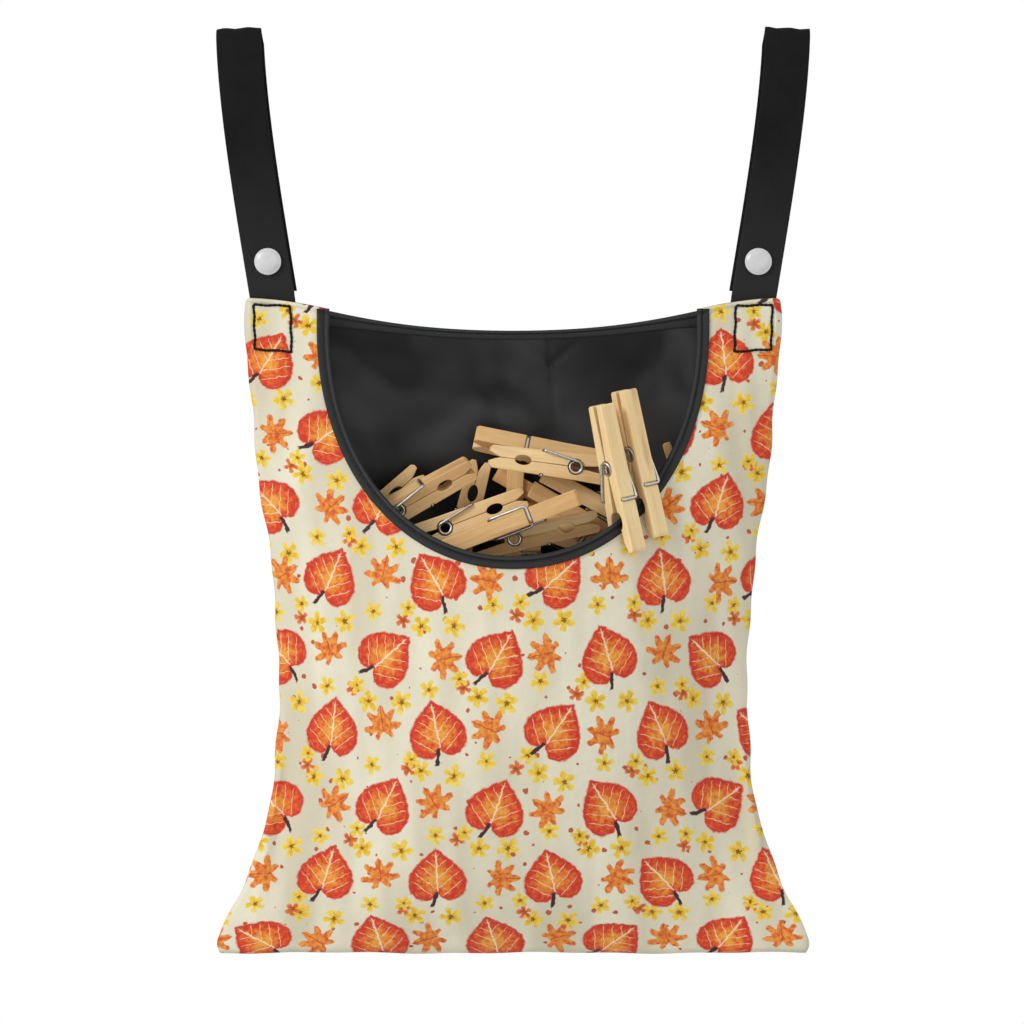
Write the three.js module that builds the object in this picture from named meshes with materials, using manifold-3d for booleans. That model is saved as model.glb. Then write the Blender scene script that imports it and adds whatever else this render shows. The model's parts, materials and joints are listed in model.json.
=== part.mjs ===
// A peg bag hanging by its two strap loops, filled with sprung wooden pegs.
// Millimetres. X runs to the right, the front faces -Y and Z points up.
// The origin lies midway between the loops, where the clothesline passes through them.
import * as THREE from 'three';
import { mergeVertices } from 'three/addons/utils/BufferGeometryUtils.js';
import Module from 'manifold-3d';

const wasm = await Module();
wasm.setup();

// Straps
const WEB_WIDTH = 25;
const WEB_THICK = 1.4;
const LOOP_GAP = 4.4;
const LOOP_REACH = 152.5;
const FOOT_REACH = 133.8;
const STRAP_DROP = 148.6;
const STRAP_TUCK = 27;
const TAIL_GAP = 5;
const FOLD_STEPS = 8;

// Bag
const BAG_HEIGHT = 364;
const TOP_HALF_WIDTH = 148.6;
const WAIST_HALF_WIDTH = 130;
const HEM_HALF_WIDTH = 165.4;
const BELLY_FRONT = 48;
const BELLY_BACK = 36;
const SEAM_INSET = 2;
const TUCK_DEPTH = 1.2;
const PRINT_THICK = 0.5;
const LINING_THICK = 0.4;
const LAYER_GAP = 0.3;

// How far down the bag each width and depth lies, and its share of the way from one named size to the next
const neckShares = [[0, 1], [0.03, 1.04], [0.15, 0.86], [0.3, 0.55], [0.4, 0.25], [0.5, 0.07], [0.62, 0]];
const skirtShares = [[0.62, 0], [0.7, 0.05], [0.76, 0.12], [0.825, 0.3], [0.87, 0.44], [0.9, 0.56],
  [0.935, 0.77], [0.97, 0.94], [0.985, 1], [1, 0.97]];
const frontDepthShares = [[0, 0.1], [0.1, 0.25], [0.22, 0.52], [0.34, 0.78], [0.46, 0.95], [0.58, 1],
  [0.7, 0.95], [0.82, 0.76], [0.92, 0.44], [1, 0]];
const backDepthShares = [[0, 0.15], [0.15, 0.4], [0.3, 0.72], [0.45, 0.94], [0.6, 1], [0.75, 0.9],
  [0.87, 0.62], [0.95, 0.33], [1, 0]];
const wingShare = 0.7;
const tuckFadeShares = [[0, 1], [0.08, 1], [0.14, 0.5], [0.2, 0]];

// Mouth and its binding
const MOUTH_HALF_WIDTH = 102;
const MOUTH_SIDE_HEIGHT = 10.4;
const MOUTH_DEPTH = 126.8;
const mouthRoundnessShare = 2.1;
const mouthCornerShare = 0.44;
const STRIP_DROP = 6;
const BINDING_WIDTH = 7;
const BINDING_THICK = 0.45;
const BINDING_CHAMFER = 0.35;
const BINDING_CLEAR = 1;
const SIDE_STATIONS = 13;
const BASE_STATIONS = 14;
const rowShares = [0, 0.08, 0.2, 0.38, 0.66, 1];

// Pegs clipped to the mouth: how far round each grips, and how the cloth twists into its jaws
const clipTurnShares = [0.69, 0.737];
const CLIP_LEAN_DEG = 11;
const CLIP_OPEN_DEG = 9;
const CLIP_RADIUS = 10;
const clipTwistShare = 0.5;
const GRIP_REACH = 31;
const DEEP_REACH = 27.5;
const CLIP_STEPS = 4;
const CLIP_REACH = 18;

// Back edge
const BACK_DROP = 17.8;
const HEM_WIDTH = 5;
const BACK_COLUMNS = 14;
const BACK_ROWS = 9;
const hemColumnsShare = 0.72;

// Press studs
const SNAP_DROP = 129.3;
const CAP_RADIUS = 7.5;
const CAP_RIM = 0.9;
const CAP_RISE = 2.2;
const CAP_STEPS = 4;
const PIN_RADIUS = 1.3;
const SNAP_GAP = 0.3;
const SOCKET_RADIUS = 5.8;
const SOCKET_THICK = 2.1;
const SOCKET_WALL = 0.9;
const NUB_RADIUS = 2.5;
const NUB_HEIGHT = 1.1;
const STUD_RADIUS = 5.2;
const STUD_THICK = 0.9;
const SNAP_SIDES = 14;

// Corner stitching
const BOX_WIDTH = 21.4;
const BOX_HEIGHT = 26.7;
const BOX_DROP = 3.3;
const BOX_INSET = 0.3;
const THREAD_WIDTH = 1;
const THREAD_THICK = 0.5;
const THREAD_GAP = 0.35;
const BOX_STEPS = 4;

// Pegs
const HANDLE_LENGTH = 35;
const JAW_LENGTH = 48;
const PEG_WIDTH = 9.5;
const JAW_THICK = 6.3;
const MID_THICK = 7.4;
const HANDLE_THICK = 4.4;
const HANDLE_RISE = 4.4;
const JAW_GAP = 0.3;
const COIL_RADIUS = 3.3;
const WIRE_RADIUS = 0.8;
const COIL_CLEAR = 0.4;
const HOLE_REACH = 29.5;
const HOLE_HALF_LENGTH = 4.7;
const HOLE_RISE = 2.6;
const LEAD_LENGTH = 6;
const LEAD_RISE = 2.4;
const GROOVE_REACH = 18.5;
const GROOVE_WIDTH = 2.6;
const GROOVE_DEPTH = 1.1;
const HOOK_BEND = 1.5;
const HOOK_GAP = 0.6;
const TIP_CHAMFER = 1.5;
const END_CHAMFER = 1.1;
const HOLE_STEPS = 5;
const SEAT_STEPS = 7;
const COIL_TURNS = 3;
const CURL_STEPS = 8;
const WIRE_SIDES = 5;
const LEG_GAP = 0.4;

// The heap of pegs below them
const HEAP_LAYERS = 4;
const HEAP_ROWS = 6;
const HEAP_COLUMNS = 3;
const HEAP_LEAN_DEG = 24;
const HEAP_OVERLAP = 0.5;
const HEAP_PITCH = 18;
const HEAP_INSET = 11;
const HEAP_DROP = 50;
const HEAP_CLEAR = 1;
const heapShiftShare = 0.5;

// Derived places
const BAG_TOP = -STRAP_DROP;
const LOOP_RADIUS = LOOP_GAP / 2;
const BAG_Y = -(LOOP_RADIUS + WEB_THICK / 2);
const MOUTH_TOP = BAG_TOP - STRIP_DROP;
const MOUTH_CURVE_TOP = MOUTH_TOP - MOUTH_SIDE_HEIGHT;
const STATIONS = 2 * SIDE_STATIONS + BASE_STATIONS;
const STRAP_LEAN = Math.atan((LOOP_REACH - FOOT_REACH) / STRAP_DROP);
const LEG_SIDE = PEG_WIDTH / 2 + LEG_GAP + WIRE_RADIUS;
const PEG_LENGTH = HANDLE_LENGTH + JAW_LENGTH;

// Materials
const MATERIALS = {
  print: { color: 0xe8e2cc, roughness: 0.8, metalness: 0 },
  lining: { color: 0x2c2c2e, roughness: 0.45, metalness: 0 },
  tape: { color: 0x2f3134, roughness: 0.7, metalness: 0 },
  webbing: { color: 0x1e1e1e, roughness: 0.75, metalness: 0 },
  thread: { color: 0x141414, roughness: 0.6, metalness: 0 },
  stud: { color: 0xf2f2f2, roughness: 0.25, metalness: 0 },
  wood: { color: 0xe2b97c, roughness: 0.65, metalness: 0 },
  steel: { color: 0x9a9a9a, roughness: 0.3, metalness: 1 },
};

// Smooth curve through pairs of [place, value], with slopes from the neighbouring pairs
function curveAt(shares, place) {
  const last = shares.length - 1;
  const slope = (k) => {
    const low = shares[Math.max(k - 1, 0)];
    const high = shares[Math.min(k + 1, last)];
    return (high[1] - low[1]) / (high[0] - low[0]);
  };
  let k = 0;
  while (k < last - 1 && place > shares[k + 1][0]) k += 1;
  const span = shares[k + 1][0] - shares[k][0];
  const t = THREE.MathUtils.clamp((place - shares[k][0]) / span, 0, 1);
  const rise = shares[k + 1][1] - shares[k][1];
  const bend = t * t * (3 - 2 * t);
  const start = slope(k) * span * t * (1 - t) * (1 - t);
  const end = slope(k + 1) * span * t * t * (1 - t);
  return shares[k][1] + rise * bend + start - end;
}

// Half the bag's width at a share of its height down from the top edge
function halfWidth(down) {
  const neck = (TOP_HALF_WIDTH - WAIST_HALF_WIDTH) * curveAt(neckShares, down);
  const skirt = (HEM_HALF_WIDTH - WAIST_HALF_WIDTH) * curveAt(skirtShares, down);
  return WAIST_HALF_WIDTH + (down < skirtShares[0][0] ? neck : skirt);
}

function downAt(z) {
  return THREE.MathUtils.clamp((BAG_TOP - z) / BAG_HEIGHT, 0, 1);
}

// How far the cloth stands off the bag's middle plane: an arch across, flatter in the lower corners
function standOff(x, z, belly, shares) {
  const down = downAt(z);
  const across = Math.abs(x) / (halfWidth(down) - SEAM_INSET);
  const inside = Math.max(0, 1 - across * across);
  const inSeam = Math.abs(x) > halfWidth(down) - SEAM_INSET / 2 || z < BAG_TOP - BAG_HEIGHT + SEAM_INSET / 2;
  const arch = belly * curveAt(shares, down) * inside ** (1 + wingShare * down ** 3);
  const room = inSeam ? 0 : TUCK_DEPTH * curveAt(tuckFadeShares, down);
  return LAYER_GAP / 2 + arch + room;
}

// The front twists by the pegs that grip it, each a small wave along the mouth
function clipWave(x, z) {
  const lean = THREE.MathUtils.degToRad(CLIP_LEAN_DEG);
  let wave = 0;
  for (const share of clipTurnShares) {
    const clip = mouthPoint(Math.PI * share, BINDING_WIDTH / 2);
    const across = (x - clip.x) * Math.cos(lean) + (z - clip.z) * Math.sin(lean);
    const away = Math.hypot(x - clip.x, z - clip.z) / CLIP_RADIUS;
    wave += clipTwistShare * across * Math.exp(-(away ** 2) / 2);
  }
  return wave;
}

const frontLayer = (x, z, out) => (
  BAG_Y - standOff(x, z, BELLY_FRONT, frontDepthShares) + clipWave(x, z) - out
);
const backLayer = (x, z, out) => BAG_Y + standOff(x, z, BELLY_BACK, backDepthShares) + out;

// Layers outwards from the inside of the bag, at each one's inner face
const LINING_AT = 0;
const PRINT_AT = LINING_THICK + LAYER_GAP;
const PRINT_FACE = PRINT_AT + PRINT_THICK;

// Closed geometry from points and triangles, turned so that its faces point outwards
function closedGeometry(points, faces) {
  let volume = 0;
  for (const [a, b, c] of faces) {
    volume += points[a].dot(new THREE.Vector3().crossVectors(points[b], points[c]));
  }
  const index = faces.flatMap(([a, b, c]) => (volume < 0 ? [a, c, b] : [a, b, c]));
  const geometry = new THREE.BufferGeometry();
  geometry.setAttribute('position', new THREE.Float32BufferAttribute(points.flatMap((p) => [p.x, p.y, p.z]), 3));
  geometry.setIndex(index);
  return geometry;
}

// A wall between two grids of points that have the same rows and columns
function wall(outer, inner) {
  const rows = outer.length;
  const columns = outer[0].length;
  const points = [...outer.flat(), ...inner.flat()];
  const at = (side, r, c) => side * rows * columns + r * columns + c;
  const faces = [];
  const quad = (a, b, c, d) => faces.push([a, b, c], [a, c, d]);
  for (let r = 0; r < rows - 1; r += 1) {
    for (let c = 0; c < columns - 1; c += 1) {
      quad(at(0, r, c), at(0, r, c + 1), at(0, r + 1, c + 1), at(0, r + 1, c));
      quad(at(1, r, c), at(1, r + 1, c), at(1, r + 1, c + 1), at(1, r, c + 1));
    }
  }
  for (let c = 0; c < columns - 1; c += 1) {
    quad(at(0, 0, c), at(1, 0, c), at(1, 0, c + 1), at(0, 0, c + 1));
    quad(at(0, rows - 1, c), at(0, rows - 1, c + 1), at(1, rows - 1, c + 1), at(1, rows - 1, c));
  }
  for (let r = 0; r < rows - 1; r += 1) {
    quad(at(0, r, 0), at(0, r + 1, 0), at(1, r + 1, 0), at(1, r, 0));
    quad(at(0, r, columns - 1), at(1, r, columns - 1), at(1, r + 1, columns - 1), at(0, r + 1, columns - 1));
  }
  return closedGeometry(points, faces);
}

// A closed section carried along stations, with flat ends unless it closes into a loop
function sweep(rings, looped = false) {
  const size = rings[0].length;
  const points = rings.flat();
  const faces = [];
  const spans = looped ? rings.length : rings.length - 1;
  for (let r = 0; r < spans; r += 1) {
    const next = (r + 1) % rings.length;
    for (let k = 0; k < size; k += 1) {
      const n = (k + 1) % size;
      faces.push([r * size + k, r * size + n, next * size + n], [r * size + k, next * size + n, next * size + k]);
    }
  }
  return { points, faces, size };
}

function tube(rings) {
  const { points, faces, size } = sweep(rings);
  const last = points.length - size;
  for (let k = 1; k < size - 1; k += 1) {
    faces.push([0, k + 1, k], [last, last + k, last + k + 1]);
  }
  return closedGeometry(points, faces);
}

// A folded tape has a hollow section, so its two ends are closed by strips from wing to wing
function foldedTape(rings) {
  const { points, faces, size } = sweep(rings);
  for (const [base, turn] of [[0, 1], [points.length - size, -1]]) {
    for (let k = 0; k < size / 2 - 1; k += 1) {
      const [a, b] = [base + k, base + k + 1];
      const [c, d] = [base + size - 2 - k, base + size - 1 - k];
      faces.push(turn > 0 ? [a, c, b] : [a, b, c], turn > 0 ? [a, d, c] : [a, c, d]);
    }
  }
  return closedGeometry(points, faces);
}

function toManifold(geometry) {
  const bare = geometry.clone();
  bare.deleteAttribute('normal');
  bare.deleteAttribute('uv');
  const merged = mergeVertices(bare);
  return new wasm.Manifold(new wasm.Mesh({
    numProp: 3,
    vertProperties: new Float32Array(merged.attributes.position.array),
    triVerts: new Uint32Array(merged.index.array),
  }));
}

function fromManifold(solid) {
  const mesh = solid.getMesh();
  const geometry = new THREE.BufferGeometry();
  geometry.setAttribute('position', new THREE.Float32BufferAttribute(mesh.vertProperties, 3));
  geometry.setIndex([...mesh.triVerts]);
  return geometry;
}

const bag = new THREE.Group();

function add(parent, name, geometry, finish) {
  const mesh = new THREE.Mesh(geometry, new THREE.MeshStandardMaterial(MATERIALS[finish]));
  mesh.name = name;
  parent.add(mesh);
  return mesh;
}

// How far round the mouth's curve a station lies: quick down the sides, close together along the base
function mouthAngle(station) {
  const corner = Math.PI * mouthCornerShare;
  if (station > STATIONS / 2) return Math.PI - mouthAngle(STATIONS - station);
  if (station <= SIDE_STATIONS) return (corner * (station - 1)) / (SIDE_STATIONS - 1);
  return THREE.MathUtils.lerp(corner, Math.PI - corner, (station - SIDE_STATIONS) / BASE_STATIONS);
}

// A point of the mouth's curve at an angle round it, moved a distance from the fold edge into the cloth
function mouthPoint(angle, distance) {
  const side = angle < Math.PI / 2 ? -1 : 1;
  const power = 2 / mouthRoundnessShare;
  const across = Math.abs(Math.cos(angle)) ** power;
  const deep = Math.abs(Math.sin(angle)) ** power;
  const nx = (side * across ** (mouthRoundnessShare - 1)) / MOUTH_HALF_WIDTH;
  const nz = -(deep ** (mouthRoundnessShare - 1)) / MOUTH_DEPTH;
  const length = Math.hypot(nx, nz);
  return {
    x: side * MOUTH_HALF_WIDTH * across + (distance * nx) / length,
    z: MOUTH_CURVE_TOP - MOUTH_DEPTH * deep + (distance * nz) / length,
  };
}

// A point of the mouth at a station, with a straight upright part at each end
function mouthAt(station, distance) {
  const side = station < STATIONS / 2 ? -1 : 1;
  const ends = station === 0 || station === STATIONS;
  if (ends) return { x: side * (MOUTH_HALF_WIDTH + distance), z: MOUTH_TOP };
  return mouthPoint(mouthAngle(station), distance);
}

// Stations lie closer together by the pegs that grip the mouth
function stationList() {
  const list = [];
  const near = (station) => clipTurnShares.some((share) => {
    const clip = mouthPoint(Math.PI * share, 0);
    const place = mouthAt(station, 0);
    return Math.hypot(place.x - clip.x, place.z - clip.z) < CLIP_REACH;
  });
  for (let station = 0; station < STATIONS; station += 1) {
    const steps = near(station) || near(station + 1) ? CLIP_STEPS : 1;
    for (let k = 0; k < steps; k += 1) list.push(station + k / steps);
  }
  return [...list, STATIONS];
}

// The bag's outline at a station: down one side, along the bottom seam and up the other side
function outline(station, inset) {
  const bottom = BAG_TOP - BAG_HEIGHT;
  const fromEnd = Math.min(station, STATIONS - station);
  const side = station < STATIONS / 2 ? -1 : 1;
  if (fromEnd <= SIDE_STATIONS) {
    const down = fromEnd / SIDE_STATIONS;
    const z = Math.max(BAG_TOP - BAG_HEIGHT * down, bottom + inset);
    return { x: side * (halfWidth(down) - inset), z };
  }
  const share = (station - SIDE_STATIONS) / BASE_STATIONS;
  return { x: (2 * share - 1) * (halfWidth(1) - inset), z: bottom + inset };
}

// Places in the front panel from the mouth out to the seam, one list for each station
function frontPlaces(station) {
  const start = mouthAt(station, BINDING_WIDTH + BINDING_CLEAR);
  const end = outline(station, SEAM_INSET);
  const places = [mouthAt(station, BINDING_THICK + LAYER_GAP)];
  for (const share of rowShares) {
    places.push({
      x: THREE.MathUtils.lerp(start.x, end.x, share),
      z: THREE.MathUtils.lerp(start.z, end.z, share),
    });
  }
  return [...places, outline(station, 0)];
}

function layerGrid(places, layer, out) {
  return places.map((row) => row.map(({ x, z }) => new THREE.Vector3(x, layer(x, z, out), z)));
}

function addPanels(places, layer, side) {
  const cut = (from, to) => wall(layerGrid(places, layer, to), layerGrid(places, layer, from));
  add(bag, `${side}_panel`, cut(PRINT_AT, PRINT_FACE), 'print');
  add(bag, `${side}_lining`, cut(LINING_AT, LINING_THICK), 'lining');
}

// A tape's section at one station: the front wing, the fold and the back wing, out and back again
function tapeSection(place, width, layer, base, reach) {
  const near = place(base);
  const far = place(reach);
  const at = (d, out) => {
    const share = (d - base) / (reach - base);
    const y = THREE.MathUtils.lerp(layer(near.x, near.z, out), layer(far.x, far.z, out), share);
    return new THREE.Vector3(place(d).x, y, place(d).z);
  };
  const outFace = PRINT_FACE + LAYER_GAP;
  const inFace = -LAYER_GAP;
  return [
    at(width, outFace + BINDING_THICK),
    at(BINDING_CHAMFER, outFace + BINDING_THICK),
    at(0, outFace + BINDING_THICK - BINDING_CHAMFER),
    at(0, inFace - BINDING_THICK + BINDING_CHAMFER),
    at(BINDING_CHAMFER, inFace - BINDING_THICK),
    at(width, inFace - BINDING_THICK),
    at(width, inFace),
    at(BINDING_THICK, inFace),
    at(BINDING_THICK, (inFace + outFace) / 3),
    at(BINDING_THICK, (2 * (inFace + outFace)) / 3),
    at(BINDING_THICK, outFace),
    at(width, outFace),
  ];
}

function addFront() {
  const stations = stationList();
  addPanels(stations.map(frontPlaces), frontLayer, 'front');
  const rings = stations.map((station) => {
    const place = (d) => mouthAt(station, d);
    const base = BINDING_THICK + LAYER_GAP;
    return tapeSection(place, BINDING_WIDTH, frontLayer, base, BINDING_WIDTH + BINDING_CLEAR);
  });
  add(bag, 'mouth_binding', foldedTape(rings), 'tape');
}

// The back's top edge sags between the straps
function backEdge(across) {
  return BAG_TOP - BACK_DROP * (1 - across * across);
}

function backPlaces(column) {
  const inSeam = column < 0 || column > BACK_COLUMNS;
  const inset = inSeam ? 0 : SEAM_INSET;
  const across = THREE.MathUtils.clamp((2 * column) / BACK_COLUMNS - 1, -1, 1);
  const top = backEdge(across) - BINDING_THICK - LAYER_GAP;
  const hemEnd = backEdge(across) - HEM_WIDTH - BINDING_CLEAR;
  const bottom = BAG_TOP - BAG_HEIGHT;
  const heights = [top];
  for (let r = 0; r <= BACK_ROWS; r += 1) {
    heights.push(THREE.MathUtils.lerp(hemEnd, bottom + SEAM_INSET, r / BACK_ROWS));
  }
  heights.push(bottom);
  return heights.map((z) => ({ x: across * (halfWidth(downAt(z)) - inset), z }));
}

function addBack() {
  const columns = Array.from({ length: BACK_COLUMNS + 3 }, (_, k) => k - 1);
  addPanels(columns.map(backPlaces), backLayer, 'back');
  const hemColumns = columns.filter((c) => Math.abs((2 * c) / BACK_COLUMNS - 1) <= hemColumnsShare);
  const rings = hemColumns.map((column) => {
    const across = (2 * column) / BACK_COLUMNS - 1;
    const place = (d) => {
      const z = backEdge(across) - d;
      return { x: across * (halfWidth(downAt(z)) - SEAM_INSET), z };
    };
    return tapeSection(place, HEM_WIDTH, backLayer, BINDING_THICK + LAYER_GAP, HEM_WIDTH + BINDING_CLEAR);
  });
  add(bag, 'back_hem', foldedTape(rings), 'tape');
}

// A side profile in Y and Z, extruded across a strap's width
function acrossStrap(shape) {
  const geometry = new THREE.ExtrudeGeometry(shape, {
    depth: WEB_WIDTH, bevelEnabled: false, curveSegments: FOLD_STEPS,
  });
  geometry.translate(0, 0, -WEB_WIDTH / 2);
  const turn = new THREE.Matrix4().makeBasis(
    new THREE.Vector3(0, 1, 0), new THREE.Vector3(0, 0, 1), new THREE.Vector3(1, 0, 0),
  );
  return geometry.applyMatrix4(turn);
}

function strapShape() {
  const outer = LOOP_RADIUS + WEB_THICK;
  const foot = -(STRAP_DROP / Math.cos(STRAP_LEAN) + STRAP_TUCK);
  const shape = new THREE.Shape();
  shape.moveTo(-outer, foot);
  shape.lineTo(-outer, -LOOP_RADIUS);
  shape.absarc(0, -LOOP_RADIUS, outer, Math.PI, 0, true);
  shape.lineTo(LOOP_RADIUS, -LOOP_RADIUS);
  shape.absarc(0, -LOOP_RADIUS, LOOP_RADIUS, 0, Math.PI, false);
  shape.lineTo(-LOOP_RADIUS, foot);
  shape.closePath();
  return shape;
}

function tailShape() {
  const middle = LOOP_RADIUS + WEB_THICK / 2;
  const hinge = -(LOOP_RADIUS + LAYER_GAP + WEB_THICK / 2);
  const foot = -(STRAP_DROP / Math.cos(STRAP_LEAN) - TAIL_GAP);
  const shape = new THREE.Shape();
  shape.moveTo(middle + WEB_THICK / 2, foot);
  shape.lineTo(middle + WEB_THICK / 2, hinge);
  shape.absarc(middle, hinge, WEB_THICK / 2, 0, Math.PI, false);
  shape.lineTo(middle - WEB_THICK / 2, foot);
  shape.closePath();
  return shape;
}

// A turned piece about the Y axis, from pairs of [radius, y] that close on themselves or on the axis
function turned(profile) {
  const points = profile.map(([radius, y]) => new THREE.Vector2(radius, y));
  return closedLathe(points);
}

function closedLathe(points) {
  const geometry = new THREE.LatheGeometry(points, SNAP_SIDES);
  geometry.deleteAttribute('normal');
  geometry.deleteAttribute('uv');
  const merged = mergeVertices(geometry);
  const place = merged.attributes.position;
  const corners = Array.from({ length: place.count }, (_, k) => new THREE.Vector3().fromBufferAttribute(place, k));
  const faces = [];
  for (let k = 0; k < merged.index.count; k += 3) {
    const [a, b, c] = [0, 1, 2].map((n) => merged.index.getX(k + n));
    if (a !== b && b !== c && c !== a) faces.push([a, b, c]);
  }
  return closedGeometry(corners, faces);
}

function punched(shape, y) {
  const hole = new THREE.CylinderGeometry(PIN_RADIUS + SNAP_GAP, PIN_RADIUS + SNAP_GAP, 2 * WEB_THICK, SNAP_SIDES);
  hole.translate(0, y, -SNAP_DROP);
  return fromManifold(toManifold(acrossStrap(shape)).subtract(toManifold(hole)));
}

// The domed cap in front of the strap, with the pin that holds the socket behind it
function capProfile() {
  const seat = -(LOOP_RADIUS + WEB_THICK + SNAP_GAP);
  const tip = -LOOP_RADIUS + SNAP_GAP + SOCKET_WALL;
  const profile = [[0, tip], [PIN_RADIUS, tip], [PIN_RADIUS, seat], [CAP_RADIUS, seat]];
  for (let k = 0; k <= CAP_STEPS; k += 1) {
    const angle = (Math.PI / 2) * (k / CAP_STEPS);
    profile.push([CAP_RADIUS * Math.cos(angle), seat - CAP_RIM - CAP_RISE * Math.sin(angle)]);
  }
  profile[profile.length - 1][0] = 0;
  return profile;
}

function socketProfile() {
  const front = -LOOP_RADIUS + SNAP_GAP;
  const bore = PIN_RADIUS + SNAP_GAP;
  const recess = NUB_RADIUS + SNAP_GAP;
  return [[bore, front], [SOCKET_RADIUS, front], [SOCKET_RADIUS, front + SOCKET_THICK],
    [recess, front + SOCKET_THICK], [recess, front + SOCKET_WALL], [bore, front + SOCKET_WALL], [bore, front]];
}

function studProfile() {
  const back = LOOP_RADIUS - SNAP_GAP;
  const bore = PIN_RADIUS + SNAP_GAP;
  const face = back - STUD_THICK;
  return [[bore, back], [STUD_RADIUS, back], [STUD_RADIUS, face], [NUB_RADIUS, face],
    [NUB_RADIUS, face - NUB_HEIGHT], [bore, face - NUB_HEIGHT], [bore, back]];
}

function postProfile() {
  const seat = LOOP_RADIUS + WEB_THICK + SNAP_GAP;
  const tip = LOOP_RADIUS - SNAP_GAP - STUD_THICK - NUB_HEIGHT / 2;
  return [[0, tip], [PIN_RADIUS, tip], [PIN_RADIUS, seat], [CAP_RADIUS - CAP_RIM, seat],
    [CAP_RADIUS - CAP_RIM, seat + CAP_RIM], [CAP_RADIUS - 2 * CAP_RIM, seat + 2 * CAP_RIM], [0, seat + 2 * CAP_RIM]];
}

function addStrap(side, sign) {
  const frame = new THREE.Group();
  frame.position.set(sign * LOOP_REACH, 0, 0);
  frame.rotation.y = sign * STRAP_LEAN;
  bag.add(frame);
  const middle = LOOP_RADIUS + WEB_THICK / 2;
  add(frame, `${side}_strap`, punched(strapShape(), -middle), 'webbing');
  add(frame, `${side}_strap_tail`, punched(tailShape(), middle), 'webbing');
  const profiles = { cap: capProfile(), socket: socketProfile(), stud: studProfile(), post: postProfile() };
  for (const [piece, profile] of Object.entries(profiles)) {
    add(frame, `${side}_snap_${piece}`, turned(profile), 'stud').position.z = -SNAP_DROP;
  }
}

// A square of thread sewn through the corner, lying on the printed cloth
function addBoxStitch(side, sign) {
  const middle = sign * (FOOT_REACH - BOX_INSET);
  const top = BAG_TOP - BOX_DROP;
  const corners = [[-1, 0], [1, 0], [1, 1], [-1, 1]];
  const rings = [];
  corners.forEach(([u, v], k) => {
    const [un, vn] = corners[(k + 1) % corners.length];
    for (let step = 0; step < BOX_STEPS; step += 1) {
      const share = step / BOX_STEPS;
      const across = THREE.MathUtils.lerp(u, un, share);
      const deep = THREE.MathUtils.lerp(v, vn, share);
      const place = (grow) => ({
        x: middle + across * (BOX_WIDTH / 2 + grow),
        z: top - deep * BOX_HEIGHT + (1 - 2 * deep) * grow,
      });
      const ring = [];
      for (const [grow, out] of [[0, 0], [THREAD_WIDTH, 0], [THREAD_WIDTH, THREAD_THICK], [0, THREAD_THICK]]) {
        const { x, z } = place(grow - THREAD_WIDTH);
        ring.push(new THREE.Vector3(x, frontLayer(x, z, PRINT_FACE + THREAD_GAP + out), z));
      }
      rings.push(ring);
    }
  });
  const { points, faces } = sweep(rings, true);
  add(bag, `${side}_box_stitch`, closedGeometry(points, faces), 'thread');
}

// The lever's outer face slopes in a straight line from the coil to each end
function outerFace(x) {
  const end = x > 0 ? JAW_THICK : HANDLE_RISE + HANDLE_THICK;
  const length = x > 0 ? JAW_LENGTH : HANDLE_LENGTH;
  return THREE.MathUtils.lerp(MID_THICK, end, Math.abs(x) / length);
}

// The upper lever's side outline, from the jaw tip back along the inner face and out again
function leverOutline() {
  const inner = JAW_GAP / 2;
  const seat = COIL_RADIUS + WIRE_RADIUS + COIL_CLEAR;
  const points = [[JAW_LENGTH, inner + LEAD_RISE], [JAW_LENGTH - LEAD_LENGTH, inner]];
  for (let k = 0; k <= HOLE_STEPS; k += 1) {
    const angle = (Math.PI * k) / HOLE_STEPS;
    points.push([HOLE_REACH + HOLE_HALF_LENGTH * Math.cos(angle), inner + HOLE_RISE * Math.sin(angle)]);
  }
  const start = Math.asin(inner / seat);
  const parted = JAW_GAP + (HANDLE_RISE - JAW_GAP) * (seat / HANDLE_LENGTH);
  const end = Math.PI - Math.asin(parted / seat);
  for (let k = 0; k <= SEAT_STEPS; k += 1) {
    const angle = THREE.MathUtils.lerp(start, end, k / SEAT_STEPS);
    points.push([seat * Math.cos(angle), seat * Math.sin(angle)]);
  }
  const tail = outerFace(-HANDLE_LENGTH);
  points.push([-HANDLE_LENGTH, HANDLE_RISE], [-HANDLE_LENGTH, tail - END_CHAMFER], [END_CHAMFER - HANDLE_LENGTH, tail]);
  const [low, high] = [GROOVE_REACH - GROOVE_WIDTH / 2, GROOVE_REACH + GROOVE_WIDTH / 2];
  points.push([0, MID_THICK], [low, outerFace(low)], [low, outerFace(low) - GROOVE_DEPTH]);
  points.push([high, outerFace(high) - GROOVE_DEPTH], [high, outerFace(high)]);
  points.push([JAW_LENGTH - TIP_CHAMFER, JAW_THICK], [JAW_LENGTH, JAW_THICK - TIP_CHAMFER]);
  return points;
}

function leverGeometry() {
  const shape = new THREE.Shape(leverOutline().map(([x, z]) => new THREE.Vector2(x, z)));
  const geometry = new THREE.ExtrudeGeometry(shape, { depth: PEG_WIDTH, bevelEnabled: false });
  geometry.translate(0, 0, -PEG_WIDTH / 2);
  const turn = new THREE.Matrix4().makeBasis(
    new THREE.Vector3(1, 0, 0), new THREE.Vector3(0, 0, 1), new THREE.Vector3(0, -1, 0),
  );
  return geometry.applyMatrix4(turn);
}

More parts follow.
